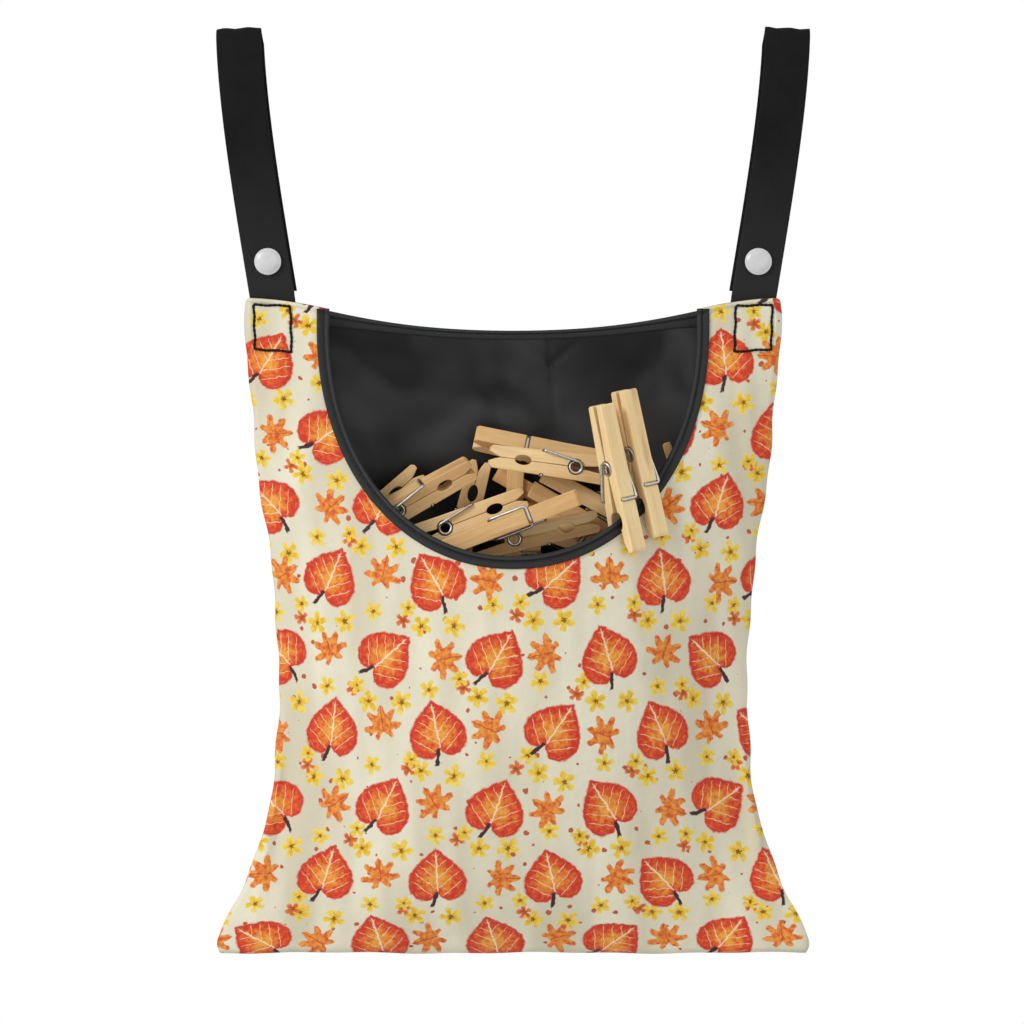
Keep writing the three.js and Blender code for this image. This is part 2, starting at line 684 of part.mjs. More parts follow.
// Half of the spring's wire beyond the coil: hook across the lever, bend and leg down to the coil
function springLeg(open) {
  const hook = new THREE.Vector2(GROOVE_REACH, outerFace(GROOVE_REACH) - GROOVE_DEPTH + JAW_GAP + WIRE_RADIUS);
  hook.rotateAround(new THREE.Vector2(), open);
  const touch = hook.angle() + Math.acos(COIL_RADIUS / hook.length());
  const coil = new THREE.Vector2(COIL_RADIUS * Math.cos(touch), COIL_RADIUS * Math.sin(touch));
  const along = coil.clone().sub(hook).normalize();
  const point = (run, y) => new THREE.Vector3(hook.x + along.x * run, y, hook.y + along.y * run);
  const bend = HOOK_BEND * (1 - Math.SQRT1_2);
  return {
    touch,
    points: [point(0, -PEG_WIDTH / 2 + HOOK_GAP), point(0, 0), point(0, LEG_SIDE - HOOK_BEND),
      point(bend, LEG_SIDE - bend), point(HOOK_BEND, LEG_SIDE), point(coil.distanceTo(hook) / 2, LEG_SIDE)],
  };
}

function springPath(open) {
  const { touch, points } = springLeg(open);
  const turn = 2 * (Math.PI - touch) + 2 * Math.PI * COIL_TURNS;
  const steps = Math.round((turn / (2 * Math.PI)) * CURL_STEPS);
  const coil = [];
  for (let k = 0; k <= steps; k += 1) {
    const share = k / steps;
    const angle = touch + turn * share;
    coil.push(new THREE.Vector3(
      COIL_RADIUS * Math.cos(angle), LEG_SIDE * (1 - 2 * share), COIL_RADIUS * Math.sin(angle),
    ));
  }
  const other = points.map((p) => new THREE.Vector3(p.x, -p.y, -p.z)).reverse();
  return [...points, ...coil, ...other];
}

// A round wire along a path, its section carried from point to point without twisting
function wire(path) {
  const rings = [];
  let across = new THREE.Vector3(1, 0, 0);
  path.forEach((point, k) => {
    const before = path[Math.max(k - 1, 0)];
    const after = path[Math.min(k + 1, path.length - 1)];
    const along = after.clone().sub(before).normalize();
    across = across.clone().addScaledVector(along, -across.dot(along)).normalize();
    const up = new THREE.Vector3().crossVectors(along, across);
    rings.push(Array.from({ length: WIRE_SIDES }, (_, n) => {
      const angle = (2 * Math.PI * n) / WIRE_SIDES;
      const ring = point.clone().addScaledVector(across, WIRE_RADIUS * Math.cos(angle));
      return ring.addScaledVector(up, WIRE_RADIUS * Math.sin(angle));
    }));
  });
  return tube(rings);
}

// The least gap between turns of the wire, measured from points on its middle line
function leastGap(path) {
  let least = Infinity;
  const curve = new THREE.CatmullRomCurve3(path);
  const points = curve.getPoints(path.length * CURL_STEPS);
  const apart = COIL_TURNS * CURL_STEPS;
  for (let i = 0; i < points.length; i += 1) {
    for (let j = i + apart; j < points.length; j += 1) least = Math.min(least, points[i].distanceTo(points[j]));
  }
  return least - 2 * WIRE_RADIUS;
}

// One peg: the jaws point along the group's X, and lever B opens towards its Z
function addPeg(name, place, turn, open, wound) {
  const group = new THREE.Group();
  group.position.copy(place);
  group.setRotationFromMatrix(turn);
  bag.add(group);
  const half = THREE.MathUtils.degToRad(open) / 2;
  const upper = add(group, `${name}_lever_b`, leverGeometry(), 'wood');
  upper.rotation.y = -half;
  const lower = add(group, `${name}_lever_a`, leverGeometry(), 'wood');
  lower.rotation.set(Math.PI, half, 0, 'YXZ');
  const path = springPath(half).map((p) => new THREE.Vector3(p.x, wound * p.y, p.z));
  add(group, `${name}_spring`, wire(path), 'steel');
}

// The pile behind the mouth. For each peg: shares of its length across and up from the mouth's lowest
// point, layers back from the front cloth (below 0: forward from the back cloth), then tilt, roll and turn
// in degrees and which way its spring winds
const LAYER_PITCH = PEG_WIDTH / 2 + LEG_SIDE + WIRE_RADIUS + LAYER_GAP;
const PILE_BASE = MOUTH_CURVE_TOP - MOUTH_DEPTH;
const PILE_FRONT = BAG_Y - BELLY_FRONT * curveAt(frontDepthShares, downAt(PILE_BASE));
const HEAP_FRONT = PILE_FRONT + HEAP_INSET;
const HEAP_TOP = PILE_BASE - HEAP_DROP;
const pileShares = {
  peg_03: [0.007, 0.113, 2.59, 12, 180, 0, -1],
  peg_04: [-0.104, 0.186, 1.34, 21, 90, 0, 1],
  peg_05: [-0.455, 0.186, 3.54, 21, 0, 0, -1],
  peg_06: [-0.78, 0.315, 2.92, 29, 25, 5, -1],
  peg_07: [-1.054, 0.178, 3.9, 42, 0, 8, 1],
  peg_08: [-0.357, 0.073, 4.71, 76, 0, 0, 1],
  peg_09: [0.414, 0.594, 2.49, -7.5, 0, 186, 1],
  peg_10: [0.307, 0.672, -1.03, -12, -60, 180, 1],
  peg_11: [0.571, 0.35, 3.75, -28, 90, 0, 1],
  peg_12: [1.21, 0.37, -0.99, -75, 180, 0, 1],
};

// Pegs of the heap that show between the others: the same places and a tilt, as plain bars
const fillShares = [[0, 0.08, 4.75, 88], [0.13, -0.13, 4.75, 90], [0.38, 0.1, 4.65, -20], [0.6, 0.05, 4.1, -35],
  [0.36, -0.1, 3.2, 20], [0.3, -0.15, 4.3, -10], [0.32, 0.31, 4.75, -30], [0.55, 0.2, 4, -30]];

function pilePlace(across, up, layer) {
  const x = across * PEG_LENGTH;
  const z = PILE_BASE + up * PEG_LENGTH;
  const from = layer < 0 ? backLayer(x, z, 0) : PILE_FRONT;
  return new THREE.Vector3(x, from + layer * LAYER_PITCH, z);
}

function addPile() {
  for (const [name, [across, up, layer, tilt, roll, yaw, wound]] of Object.entries(pileShares)) {
    const [x, y, z] = [roll, -tilt, yaw].map((angle) => THREE.MathUtils.degToRad(angle));
    const turn = new THREE.Matrix4().makeRotationFromEuler(new THREE.Euler(x, y, z, 'YZX'));
    addPeg(name, pilePlace(across, up, layer), turn, 0, wound);
  }
}

// The rest of the pegs, lower in the bag: layers of bars that lean one way and then the other
function addPegsBelow() {
  const bars = [];
  for (let layer = 0; layer < HEAP_LAYERS; layer += 1) {
    const lean = THREE.MathUtils.degToRad(layer % 2 ? HEAP_LEAN_DEG : -HEAP_LEAN_DEG);
    const y = HEAP_FRONT + layer * (2 * MID_THICK - HEAP_OVERLAP);
    for (let row = 0; row < HEAP_ROWS; row += 1) {
      for (let column = 0; column < HEAP_COLUMNS; column += 1) {
        const x = (column - (HEAP_COLUMNS - 1) / 2 + (row % 2 ? heapShiftShare : 0)) * (PEG_LENGTH + PEG_WIDTH);
        const z = HEAP_TOP - row * HEAP_PITCH;
        const bar = barAt(new THREE.Vector3(x, y, z), lean);
        if (liesInside(bar)) bars.push(toManifold(bar));
      }
    }
  }
  for (const [across, up, layer, tilt] of fillShares) {
    bars.push(toManifold(barAt(pilePlace(across, up, layer), -THREE.MathUtils.degToRad(tilt))));
  }
  add(bag, 'pegs_below', fromManifold(wasm.Manifold.union(bars)), 'wood');
}

function barAt(place, lean) {
  const bar = new THREE.BoxGeometry(PEG_LENGTH, 2 * MID_THICK, PEG_WIDTH);
  bar.rotateY(lean);
  return bar.translate(place.x, place.y, place.z);
}

function liesInside(geometry) {
  const place = geometry.attributes.position;
  return Array.from({ length: place.count }, (_, k) => new THREE.Vector3().fromBufferAttribute(place, k)).every(
    ({ x, y, z }) => y > frontLayer(x, z, 0) + HEAP_CLEAR && y < backLayer(x, z, 0) - HEAP_CLEAR,
  );
}

// A peg clipped to the mouth lies along the cloth there and opens square to it, gripping it at the
// given reach from its coil
function addClippedPeg(name, turnShare, reach) {
  const clip = mouthPoint(Math.PI * turnShare, BINDING_WIDTH / 2);
  const middle = PRINT_FACE / 2;
  const step = SEAM_INSET / 2;
  const at = (x, z) => frontLayer(x, z, middle);
  const slopeX = (at(clip.x + step, clip.z) - at(clip.x - step, clip.z)) / (2 * step);
  const slopeZ = (at(clip.x, clip.z + step) - at(clip.x, clip.z - step)) / (2 * step);
  const lean = THREE.MathUtils.degToRad(CLIP_LEAN_DEG);
  const [acrossShare, downShare] = [Math.sin(lean), -Math.cos(lean)];
  const along = new THREE.Vector3(acrossShare, slopeX * acrossShare + slopeZ * downShare, downShare).normalize();
  const out = new THREE.Vector3(slopeX, -1, slopeZ).normalize();
  const turn = new THREE.Matrix4().makeBasis(along, new THREE.Vector3().crossVectors(out, along), out);
  const grip = new THREE.Vector3(clip.x, at(clip.x, clip.z), clip.z);
  addPeg(name, grip.addScaledVector(along, -reach), turn, CLIP_OPEN_DEG, 1);
}

addFront();
addBack();
for (const [side, sign] of [['left', -1], ['right', 1]]) {
  addStrap(side, sign);
  addBoxStitch(side, sign);
}
[GRIP_REACH, DEEP_REACH].forEach((reach, k) => addClippedPeg(`peg_0${k + 1}`, clipTurnShares[k], reach));
addPile();
addPegsBelow();
console.log('least gap between turns of a peg spring, mm:', leastGap(springPath(0)).toFixed(2));

export default bag;
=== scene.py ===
# %% [markdown]
# # A peg bag on a clothesline
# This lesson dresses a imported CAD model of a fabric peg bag. The CAD solids say where every piece is
# and how it moves. Each cell below builds what the eye sees in the same place: printed cloth, satin
# lining, woven straps, press studs and sprung wooden pegs. All lengths are in millimetres until they
# go into a mesh, which is in metres.

# %% Load the frame
import json
import math
import bpy
import numpy as np
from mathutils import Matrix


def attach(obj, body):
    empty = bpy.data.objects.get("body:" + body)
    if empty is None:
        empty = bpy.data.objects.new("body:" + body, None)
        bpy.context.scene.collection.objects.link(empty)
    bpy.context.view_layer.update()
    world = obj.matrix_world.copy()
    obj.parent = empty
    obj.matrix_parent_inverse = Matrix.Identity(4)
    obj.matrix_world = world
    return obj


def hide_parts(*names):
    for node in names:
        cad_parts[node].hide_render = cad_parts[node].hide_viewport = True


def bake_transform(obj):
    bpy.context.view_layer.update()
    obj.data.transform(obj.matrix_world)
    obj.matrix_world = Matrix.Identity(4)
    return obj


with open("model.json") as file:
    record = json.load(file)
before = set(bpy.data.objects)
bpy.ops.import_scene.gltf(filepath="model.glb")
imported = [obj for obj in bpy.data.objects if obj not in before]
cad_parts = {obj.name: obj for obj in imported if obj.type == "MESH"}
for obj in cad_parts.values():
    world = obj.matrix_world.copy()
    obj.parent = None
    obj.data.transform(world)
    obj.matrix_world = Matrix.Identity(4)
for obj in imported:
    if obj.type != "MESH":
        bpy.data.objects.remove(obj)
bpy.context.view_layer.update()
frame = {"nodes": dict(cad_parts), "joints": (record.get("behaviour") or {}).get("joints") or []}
MM = 0.001

# %% [markdown]
# ## The camera
# The photograph was taken square on with a long lens, so the bag shows almost no perspective. A 250 mm
# lens far back gives the same flat view. Its distance follows from the width that the picture spans at
# the straps and the side seams.

# %% The camera
VIEW_WIDTH = 568.9
VIEW_CENTRE = (-0.6, -267.5)
SEAM_PLANE = -6.0
LENS, SENSOR = 250.0, 36.0
distance = VIEW_WIDTH * LENS / SENSOR
camera_data = bpy.data.cameras.new("camera")
camera_data.lens, camera_data.sensor_width = LENS, SENSOR
camera = bpy.data.objects.new("camera", camera_data)
camera.location = (VIEW_CENTRE[0] * MM, (SEAM_PLANE - distance) * MM, VIEW_CENTRE[1] * MM)
camera.rotation_euler = (math.radians(90), 0, 0)
bpy.context.scene.collection.objects.link(camera)
bpy.context.scene.camera = camera
bpy.context.scene.view_settings.view_transform = "Standard"
print("camera stands", round(-camera.location.y, 2), "m in front")

# %% [markdown]
# ## Putting arrays into meshes
# Every surface here is worked out as a whole numpy array. Two small functions turn arrays into Blender
# meshes: one takes points and any faces, the other takes faces that are all alike and turns them
# outwards. A closed shape is checked by its volume, which comes out negative when the faces are inside
# out, and a sheet by the side that it should face.


# %% Mesh helpers
def loose_piece(name, points, faces):
    """Points in millimetres and faces with any number of corners become an object at the origin."""
    mesh = bpy.data.meshes.new(name)
    mesh.from_pydata((points * MM).tolist(), [], faces)
    obj = bpy.data.objects.new(name, mesh)
    bpy.context.scene.collection.objects.link(obj)
    return obj


def piece_from(name, points, faces, uv=None, facing=None):
    """A smooth piece whose faces are all alike. The sum over all faces of corner A dot (corner B cross
    corner C) is the volume; where it is negative, or the faces look away from `facing`, every face is
    turned round. `uv` holds each point's flat measurements."""
    a, b, c = (points[faces[:, k]] for k in range(3))
    if facing is None:
        sign = np.einsum("ij,ij->i", a, np.cross(b, c)).sum()
    else:
        sign = (np.cross(b - a, c - a) @ facing).sum()
    obj = loose_piece(name, points, (faces[:, ::-1] if sign < 0 else faces).tolist())
    if uv is not None:
        corner = np.empty(len(obj.data.loops), int)
        obj.data.loops.foreach_get("vertex_index", corner)
        obj.data.uv_layers.new(name="cut").data.foreach_set("uv", (uv[corner] * MM).ravel())
    obj.data.shade_smooth()
    return obj


print("one unit in a mesh is", 1 / MM, "mm")

# %% [markdown]
# ## Grids and soft edges
# Cloth, tape, webbing and wire are all grids of points, so one function joins the neighbours in a grid
# into quads. Another adds a modifier. With it the sharp edges of wood and resin are broken, because a
# real edge is never quite sharp and catches a thin light line.


# %% Grids and edges
def grid_faces(rows, columns, round_rows=False, round_columns=False):
    """The quads between neighbours of a grid; a direction that is round also joins last to first."""
    r = np.arange(rows if round_rows else rows - 1)[:, None]
    c = np.arange(columns if round_columns else columns - 1)[None, :]
    rn, cn = (r + 1) % rows, (c + 1) % columns
    corners = (r * columns + c, r * columns + cn, rn * columns + cn, rn * columns + c)
    return np.stack(np.broadcast_arrays(*corners), -1).reshape(-1, 4)


def modifier(obj, kind, **settings):
    """Adds a modifier and sets what it is told."""
    added = obj.modifiers.new(kind.lower(), kind)
    for name, value in settings.items():
        setattr(added, name, value)
    return obj


def break_edges(obj, width, segments, degrees):
    """Takes the sharpness off every edge that turns by more than so many degrees."""
    return modifier(obj, "BEVEL", width=width * MM, segments=segments, limit_method="ANGLE",
                    angle_limit=math.radians(degrees))


print("a closed grid of 4 by 3 points has", len(grid_faces(4, 3, True, True)), "faces")

# %% [markdown]
# ## The shape of the hanging bag
# A peg bag is two cloth panels sewn round the sides and bottom. Hung up with pegs in it, it is wide at
# the shoulders, drawn in at the waist and spread again at the hem. So one smooth curve down the bag
# gives half its width. The same curve shapes the CAD, which keeps the dressed bag in its place.

# %% Widths
BAG_TOP, BAG_HEIGHT = -148.6, 364.0
TOP_HALF, WAIST_HALF, HEM_HALF = 148.6, 130.0, 165.4
# Each curve: pairs of a share of the way down the bag and a share of the change in width
NECK = [[0, 1], [0.03, 1.04], [0.15, 0.86], [0.3, 0.55], [0.4, 0.25], [0.5, 0.07], [0.62, 0]]
SKIRT = [[0.62, 0], [0.7, 0.05], [0.76, 0.12], [0.825, 0.3], [0.87, 0.44], [0.9, 0.56], [0.935, 0.77],
         [0.97, 0.94], [0.985, 1], [1, 0.97]]


def curve_at(pairs, place):
    """A smooth curve through pairs of place and value: on each span a cubic that meets both values and
    takes its slopes from the pairs on either side."""
    at, value = np.array(pairs, float).T
    last = len(at) - 1
    low, high = np.maximum(np.arange(last + 1) - 1, 0), np.minimum(np.arange(last + 1) + 1, last)
    slope = (value[high] - value[low]) / (at[high] - at[low])
    k = np.searchsorted(at[1:-1], place, side="left")
    span = at[k + 1] - at[k]
    t = np.clip((place - at[k]) / span, 0, 1)
    rise = (value[k + 1] - value[k]) * t * t * (3 - 2 * t)
    return value[k] + rise + span * (slope[k] * t * (1 - t) ** 2 - slope[k + 1] * t * t * (1 - t))


def half_width(down):
    """Half the bag's width at a share of its height down from the top."""
    neck = (TOP_HALF - WAIST_HALF) * curve_at(NECK, down)
    skirt = (HEM_HALF - WAIST_HALF) * curve_at(SKIRT, down)
    return WAIST_HALF + np.where(down < SKIRT[0][0], neck, skirt)


print("half width at top, waist, hem:", half_width(np.array([0.0, 0.62, 0.985])).round(1))

# %% [markdown]
# ## The belly
# Full of pegs, the bag swells forwards and back. So a second smooth curve down each panel says how far
# its cloth stands off the middle plane, most of all in the middle of its width and not at all at the
# seams. A low tuck by the top corners makes room for the ends of the straps.

# %% Depths
BAG_BOTTOM = BAG_TOP - BAG_HEIGHT
BAG_Y = -2.9
BELLY_FRONT, BELLY_BACK = 48.0, 36.0
SEAM_EDGE = 3.0
ARCH_INSET, ARCH_FLATTEN = 0.3, 0.7
TUCK_DEPTH = 1.2
LAYER_GAP = 0.3
LINING_FACE, PRINT_FACE = 0.4, 1.2
# Each curve: pairs of a share of the way down the bag and a share of the depth
FRONT_DEPTH = [[0, 0.1], [0.1, 0.25], [0.22, 0.52], [0.34, 0.78], [0.46, 0.95], [0.58, 1], [0.7, 0.95],
               [0.82, 0.76], [0.92, 0.44], [1, 0]]
BACK_DEPTH = [[0, 0.15], [0.15, 0.4], [0.3, 0.72], [0.45, 0.94], [0.6, 1], [0.75, 0.9], [0.87, 0.62],
              [0.95, 0.33], [1, 0]]
TUCK_FADE = [[0, 1], [0.08, 1], [0.14, 0.5], [0.2, 0]]


def down_at(z):
    """The share of the bag's height that lies above z, between 0 and 1."""
    return np.clip((BAG_TOP - z) / BAG_HEIGHT, 0, 1)


def stand_off(x, z, belly, depths):
    """How far the cloth stands off the middle plane: belly times the depth curve times an arch, one
    minus the square of the share of the way to the seam, that flattens towards the lower corners."""
    down = down_at(z)
    edge = half_width(down)
    inside = np.clip(1 - (x / (edge - ARCH_INSET)) ** 2, 0, 1)
    arch = belly * curve_at(depths, down) * inside ** (1 + ARCH_FLATTEN * down**3)
    seam = np.clip(np.minimum(edge - np.abs(x), z - BAG_BOTTOM) / SEAM_EDGE, 0, 1)
    return LAYER_GAP / 2 + arch + TUCK_DEPTH * curve_at(TUCK_FADE, down) * seam, seam


for side, belly, depths in (("front", BELLY_FRONT, FRONT_DEPTH), ("back", BELLY_BACK, BACK_DEPTH)):
    depth, _ = stand_off(np.zeros(1), np.array([(BAG_TOP + BAG_BOTTOM) / 2]), belly, depths)
    print(side, "stands", depth.round(1).item(), "mm off the middle plane half way down")

# %% [markdown]
# ## The mouth
# The mouth is a deep U cut out of the front panel. A stretched circle, with a power of 2.1 in place of
# 2, gives its slightly square U. Going round it by a station number from 0 to 40 lets every row of
# cloth run from the mouth out to the seam without crossing another.

# %% The mouth's curve
MOUTH_HALF, MOUTH_DEPTH, MOUTH_POWER = 102.0, 126.8, 2.1
STRIP_FALL, UPRIGHT = 6.0, 10.4
MOUTH_TOP = BAG_TOP - STRIP_FALL
CURVE_TOP = MOUTH_TOP - UPRIGHT
# Stations on each side and along the bottom
SIDE, BASE = 13, 14
STATIONS = 2 * SIDE + BASE
CORNER = math.pi * 0.44


def mouth_point(angle, out):
    """A point of the U: cosine and sine of the angle, each to the power 2 / 2.1, times half its width
    and its depth, then moved `out` from the cut edge into the cloth along the curve's normal."""
    side = np.where(angle < math.pi / 2, -1.0, 1.0)
    across, deep = np.abs(np.cos(angle)) ** (2 / MOUTH_POWER), np.abs(np.sin(angle)) ** (2 / MOUTH_POWER)
    nx = side * across ** (MOUTH_POWER - 1) / MOUTH_HALF
    nz = -(deep ** (MOUTH_POWER - 1)) / MOUTH_DEPTH
    length = np.hypot(nx, nz)
    return side * MOUTH_HALF * across + out * nx / length, CURVE_TOP - MOUTH_DEPTH * deep + out * nz / length


def mouth_at(station, out):
    """The U by station, with a short upright at each end."""
    angle = np.interp(station, [1, SIDE, SIDE + BASE, STATIONS - 1], [0, CORNER, math.pi - CORNER, math.pi])
    x, z = mouth_point(angle, out)
    from_end = np.minimum(station, STATIONS - station)
    z = np.where(from_end < 1, MOUTH_TOP + (CURVE_TOP - MOUTH_TOP) * from_end, z)
    return x, z


print("mouth is", 2 * MOUTH_HALF, "mm wide and", round(BAG_TOP - CURVE_TOP + MOUTH_DEPTH, 1), "mm deep")

# %% [markdown]
# ## The seam line
# The two panels are sewn together down both sides and along the bottom, then turned right side out. The
# line goes by the same stations as the mouth. No turned seam is quite straight and no corner is quite
# sharp, so the line wanders by less than a millimetre and its corners are rounded.

# %% The seam line
CORNER_TURN = 2.4
TOP_FADE, HEM_FADE = 30, 40


def outline_at(station, inset):
    """The seam line by station: down one side, along the bottom and up the other side."""
    from_end = np.minimum(station, STATIONS - station)
    side = np.where(station < STATIONS / 2, -1.0, 1.0)
    down = np.minimum(from_end / SIDE, 1)
    z = np.maximum(BAG_TOP - BAG_HEIGHT * down, BAG_BOTTOM + inset)
    share = np.clip((station - SIDE) / BASE, 0, 1)
    foot = (2 * share - 1) * (half_width(np.ones(1)) - inset)
    return np.where(from_end <= SIDE, side * (half_width(down) - inset), foot), z


def settle(x, z):
    """Nothing sewn is quite straight. The sides wander by up to 0.9 mm on two sine waves and the bottom
    by 0.6 mm, both fading quickly inwards, and the outer corners are turned with a 2.4 mm radius: inside
    that square, each share is multiplied by the root of one minus half the square of the other."""
    edge = half_width(down_at(z))
    by_side = (np.abs(x) / edge) ** 8 * np.clip((BAG_TOP - z) / TOP_FADE, 0, 1)
    by_hem = np.clip(1 - (z - BAG_BOTTOM) / HEM_FADE, 0, 1) ** 2
    turn = 0.5 * np.sin(z / 12.0 + 0.02 * x) + 0.4 * np.sin(z / 5.3 + 1)
    x = x + np.sign(x) * by_side * turn
    z = z + by_hem * (0.35 * np.sin(x / 19.0 + 0.6) + 0.25 * np.sin(x / 7.1))
    u = np.clip(1 - (edge - np.abs(x)) / CORNER_TURN, 0, 1)
    v, w = (np.clip(1 - off / CORNER_TURN, 0, 1) for off in (z - BAG_BOTTOM, BAG_TOP - z))
    x = x - np.sign(x) * CORNER_TURN * u * (2 - np.sqrt(1 - v * v / 2) - np.sqrt(1 - w * w / 2))
    return x, z + CORNER_TURN * (v - w) * (1 - np.sqrt(1 - u * u / 2))


print("corners are turned with a radius of", CORNER_TURN, "mm")

# %% [markdown]
# ## Folds in the cloth
# Thin polyester never hangs as a clean arch. Where the weight pulls from the straps to the corners it
# makes long low ridges, and the hem lifts in shallow waves. Each fold here is a soft bump, long one way
# and narrow the other. They are worked out in the plane of the bag, so the print, the lining and the
# stitches all follow the same fold.

# %% Folds
# Each fold: place across and up, which way it runs in degrees from level, half length, half width,
# height
FRONT_FOLDS = [
    (-134.5, -436, 82.5, 44, 3.4, 3.0), (-126, -430, 82, 60, 6, -1.6), (-112, -480, 84, 44, 9, -2.0),
    (134.5, -440, -82, 38, 3.6, 2.4), (126, -432, -82, 56, 6, -1.4), (112, -478, -84, 44, 9, -1.8),
    (-66, -488, 88, 46, 13, 1.9), (4, -470, 90, 60, 16, -1.7), (60, -486, 92, 46, 13, 1.9),
    (-118, -245, 78, 60, 8, 1.9), (119, -250, -80, 60, 8, 1.7), (-130, -200, 84, 40, 5, 1.4),
    (130, -204, -84, 40, 5, 1.2), (-40, -352, 12, 60, 12, 1.1), (54, -398, -14, 70, 15, 1.1),
    (-84, -330, -38, 44, 9, 1.3), (82, -338, 40, 44, 9, 1.2), (20, -440, 70, 44, 18, 1.1),
    (-100, -400, 66, 40, 8, 1.2), (98, -404, -66, 40, 8, 1.1),
]
BACK_FOLDS = [
    (-96, -300, 74, 90, 13, 2.2), (92, -330, -76, 80, 14, 2.0), (0, -420, 86, 60, 20, 1.6),
    (-132, -470, 70, 44, 9, 2.4), (134, -468, -70, 44, 9, 2.2), (40, -496, 90, 30, 16, 1.6),
    (-50, -497, 90, 30, 16, -1.4), (21, -188, -84, 22, 2.0, 2.4), (27, -180, 40, 12, 2.0, 1.2),
    (12, -179, -36, 11, 2.0, 1.0), (-46, -218, 24, 50, 14, 2.0), (58, -214, -24, 44, 12, 1.6),
    (-8, -240, 8, 60, 14, -1.4), (-60, -182, -8, 30, 5, 0.9), (70, -190, 62, 22, 7, 1.2),
]


def fold_height(x, z, folds):
    """The sum of all folds at a place: each one's height times a bell curve along it and a bell curve
    across it."""
    height = np.zeros(np.broadcast(x, z).shape)
    for fx, fz, turn, long, wide, rise in folds:
        c, s = math.cos(math.radians(turn)), math.sin(math.radians(turn))
        along, across = (x - fx) * c + (z - fz) * s, (z - fz) * c - (x - fx) * s
        height += rise * np.exp(-((along / long) ** 2) - (across / wide) ** 2)
    return height


print("deepest fold in front:", max(f[5] for f in FRONT_FOLDS), "mm")

# %% [markdown]
# ## Where the cloth is held
# Two things keep a fold from running on: the binding, which holds the mouth's edge even, and the two
# pegs that grip the rim and twist it.

# %% Holds
CLIP_TURNS = (0.69, 0.737)
CLIP_LEAN = math.radians(11)
CLIP_DEPTH, CLIP_REACH, CLIP_TWIST = 3.5, 10.0, 0.5
CALM_DROP, CALM_REACH = 14, 28.0
HOLD_END, HOLD_EASE = 1.06, 0.4


def clip_places():
    """Where the two pegs on the rim grip it."""
    return [mouth_point(np.array(math.pi * turn), CLIP_DEPTH) for turn in CLIP_TURNS]


def clip_wave(x, z):
    """The cloth twists by each peg on the rim: half the distance across it, under a round bell curve."""
    wave = 0.0
    for cx, cz in clip_places():
        across = (x - cx) * math.cos(CLIP_LEAN) + (z - cz) * math.sin(CLIP_LEAN)
        wave = wave + CLIP_TWIST * across * np.exp(-((x - cx) ** 2 + (z - cz) ** 2) / (2 * CLIP_REACH**2))
    return wave


def away_from_mouth(x, z):
    """0 at the mouth's edge, where the binding holds the cloth even, and 1 once well away from it: the
    U's own equation less 1.06, over 0.4, squared. Below each peg on the rim a bell curve calms it too."""
    deep = np.maximum(CURVE_TOP - z, 0) / MOUTH_DEPTH
    share = (np.abs(x) / MOUTH_HALF) ** MOUTH_POWER + deep**MOUTH_POWER - HOLD_END
    clear = 1.0
    for cx, cz in clip_places():
        clear = clear * (1 - np.exp(-((x - cx) ** 2 + (z - cz + CALM_DROP) ** 2) / CALM_REACH**2))
    return np.clip(share / HOLD_EASE, 0, 1) ** 2 * clear


print("pegs grip the rim at", [np.round(place, 1).tolist() for place in clip_places()])

# %% [markdown]
# ## The strips beside the mouth
# Beside the mouth the front is only a strip, and the strap is sewn to it. Its top edge is folded over,
# which leaves a soft roll, and falls a little towards the mouth. The box of stitches draws the cloth in.

# %% Strips
BOX_WIDTH, BOX_HEIGHT, BOX_DROP, BOX_MIDDLE = 21.4, 26.7, 3.3, 133.5
STRIP_POWER = 1.8
# The roll and the dip below it: how high or deep, and how far below the top edge
ROLL, ROLL_DROP, DIP, DIP_DROP, ROLL_WIDTH = 0.9, 1.5, 0.3, 3.6, 1.2
SWELL, SWELL_WIDTH, DRAW, STITCH_WIDTH = 0.35, 6, 0.4, 1.3


def strip_share(x):
    """The share of the way across a strip, from the bag's side to the mouth."""
    return np.clip((TOP_HALF - np.abs(x)) / (TOP_HALF - MOUTH_HALF), 0, 1)


def strip_drop(x):
    """How far the front's top edge has fallen below the bag's top: 6 mm at the mouth, on a curve that
    stays nearly level past the strap, the share of the way to the mouth to the power 1.8."""
    return STRIP_FALL * strip_share(x) ** STRIP_POWER


def sewn_top(x, z):
    """By the straps the cloth is folded over at the top, a roll 1.2 mm wide, and each box of stitches
    draws it in by 0.4 mm along its lines and lets it swell inside them."""
    top = BAG_TOP - strip_drop(x)
    roll = ROLL * np.exp(-(((top - z - ROLL_DROP) / ROLL_WIDTH) ** 2))
    roll = roll - DIP * np.exp(-(((top - z - DIP_DROP) / ROLL_WIDTH) ** 2))
    wide = np.abs(np.abs(x) - BOX_MIDDLE) - BOX_WIDTH / 2
    tall = np.abs(z - BAG_TOP + BOX_DROP + BOX_HEIGHT / 2) - BOX_HEIGHT / 2
    nearest = np.maximum(wide, tall)
    off_line = np.where(nearest > 0, np.hypot(np.maximum(wide, 0), np.maximum(tall, 0)), nearest)
    within = np.clip(-off_line / SWELL_WIDTH, 0, 1)
    drawn = SWELL * within - DRAW * np.exp(-((off_line / STITCH_WIDTH) ** 2))
    return (np.abs(x) > MOUTH_HALF) * (roll + drawn)


print("the top edge falls", strip_drop(np.array([BOX_MIDDLE])).round(2).item(), "mm at a box of stitches")

# %% [markdown]
# ## How deep the cloth lies
# One function for each side puts it all together: how far the cloth stands off, its folds and what
# holds them. Every layer of that side, print, lining, tape and thread, asks the same function, each with
# its own distance outwards, so that no two layers cross.

# %% Cloth layers
BACK_HELD, BACK_EASE = 18, 6


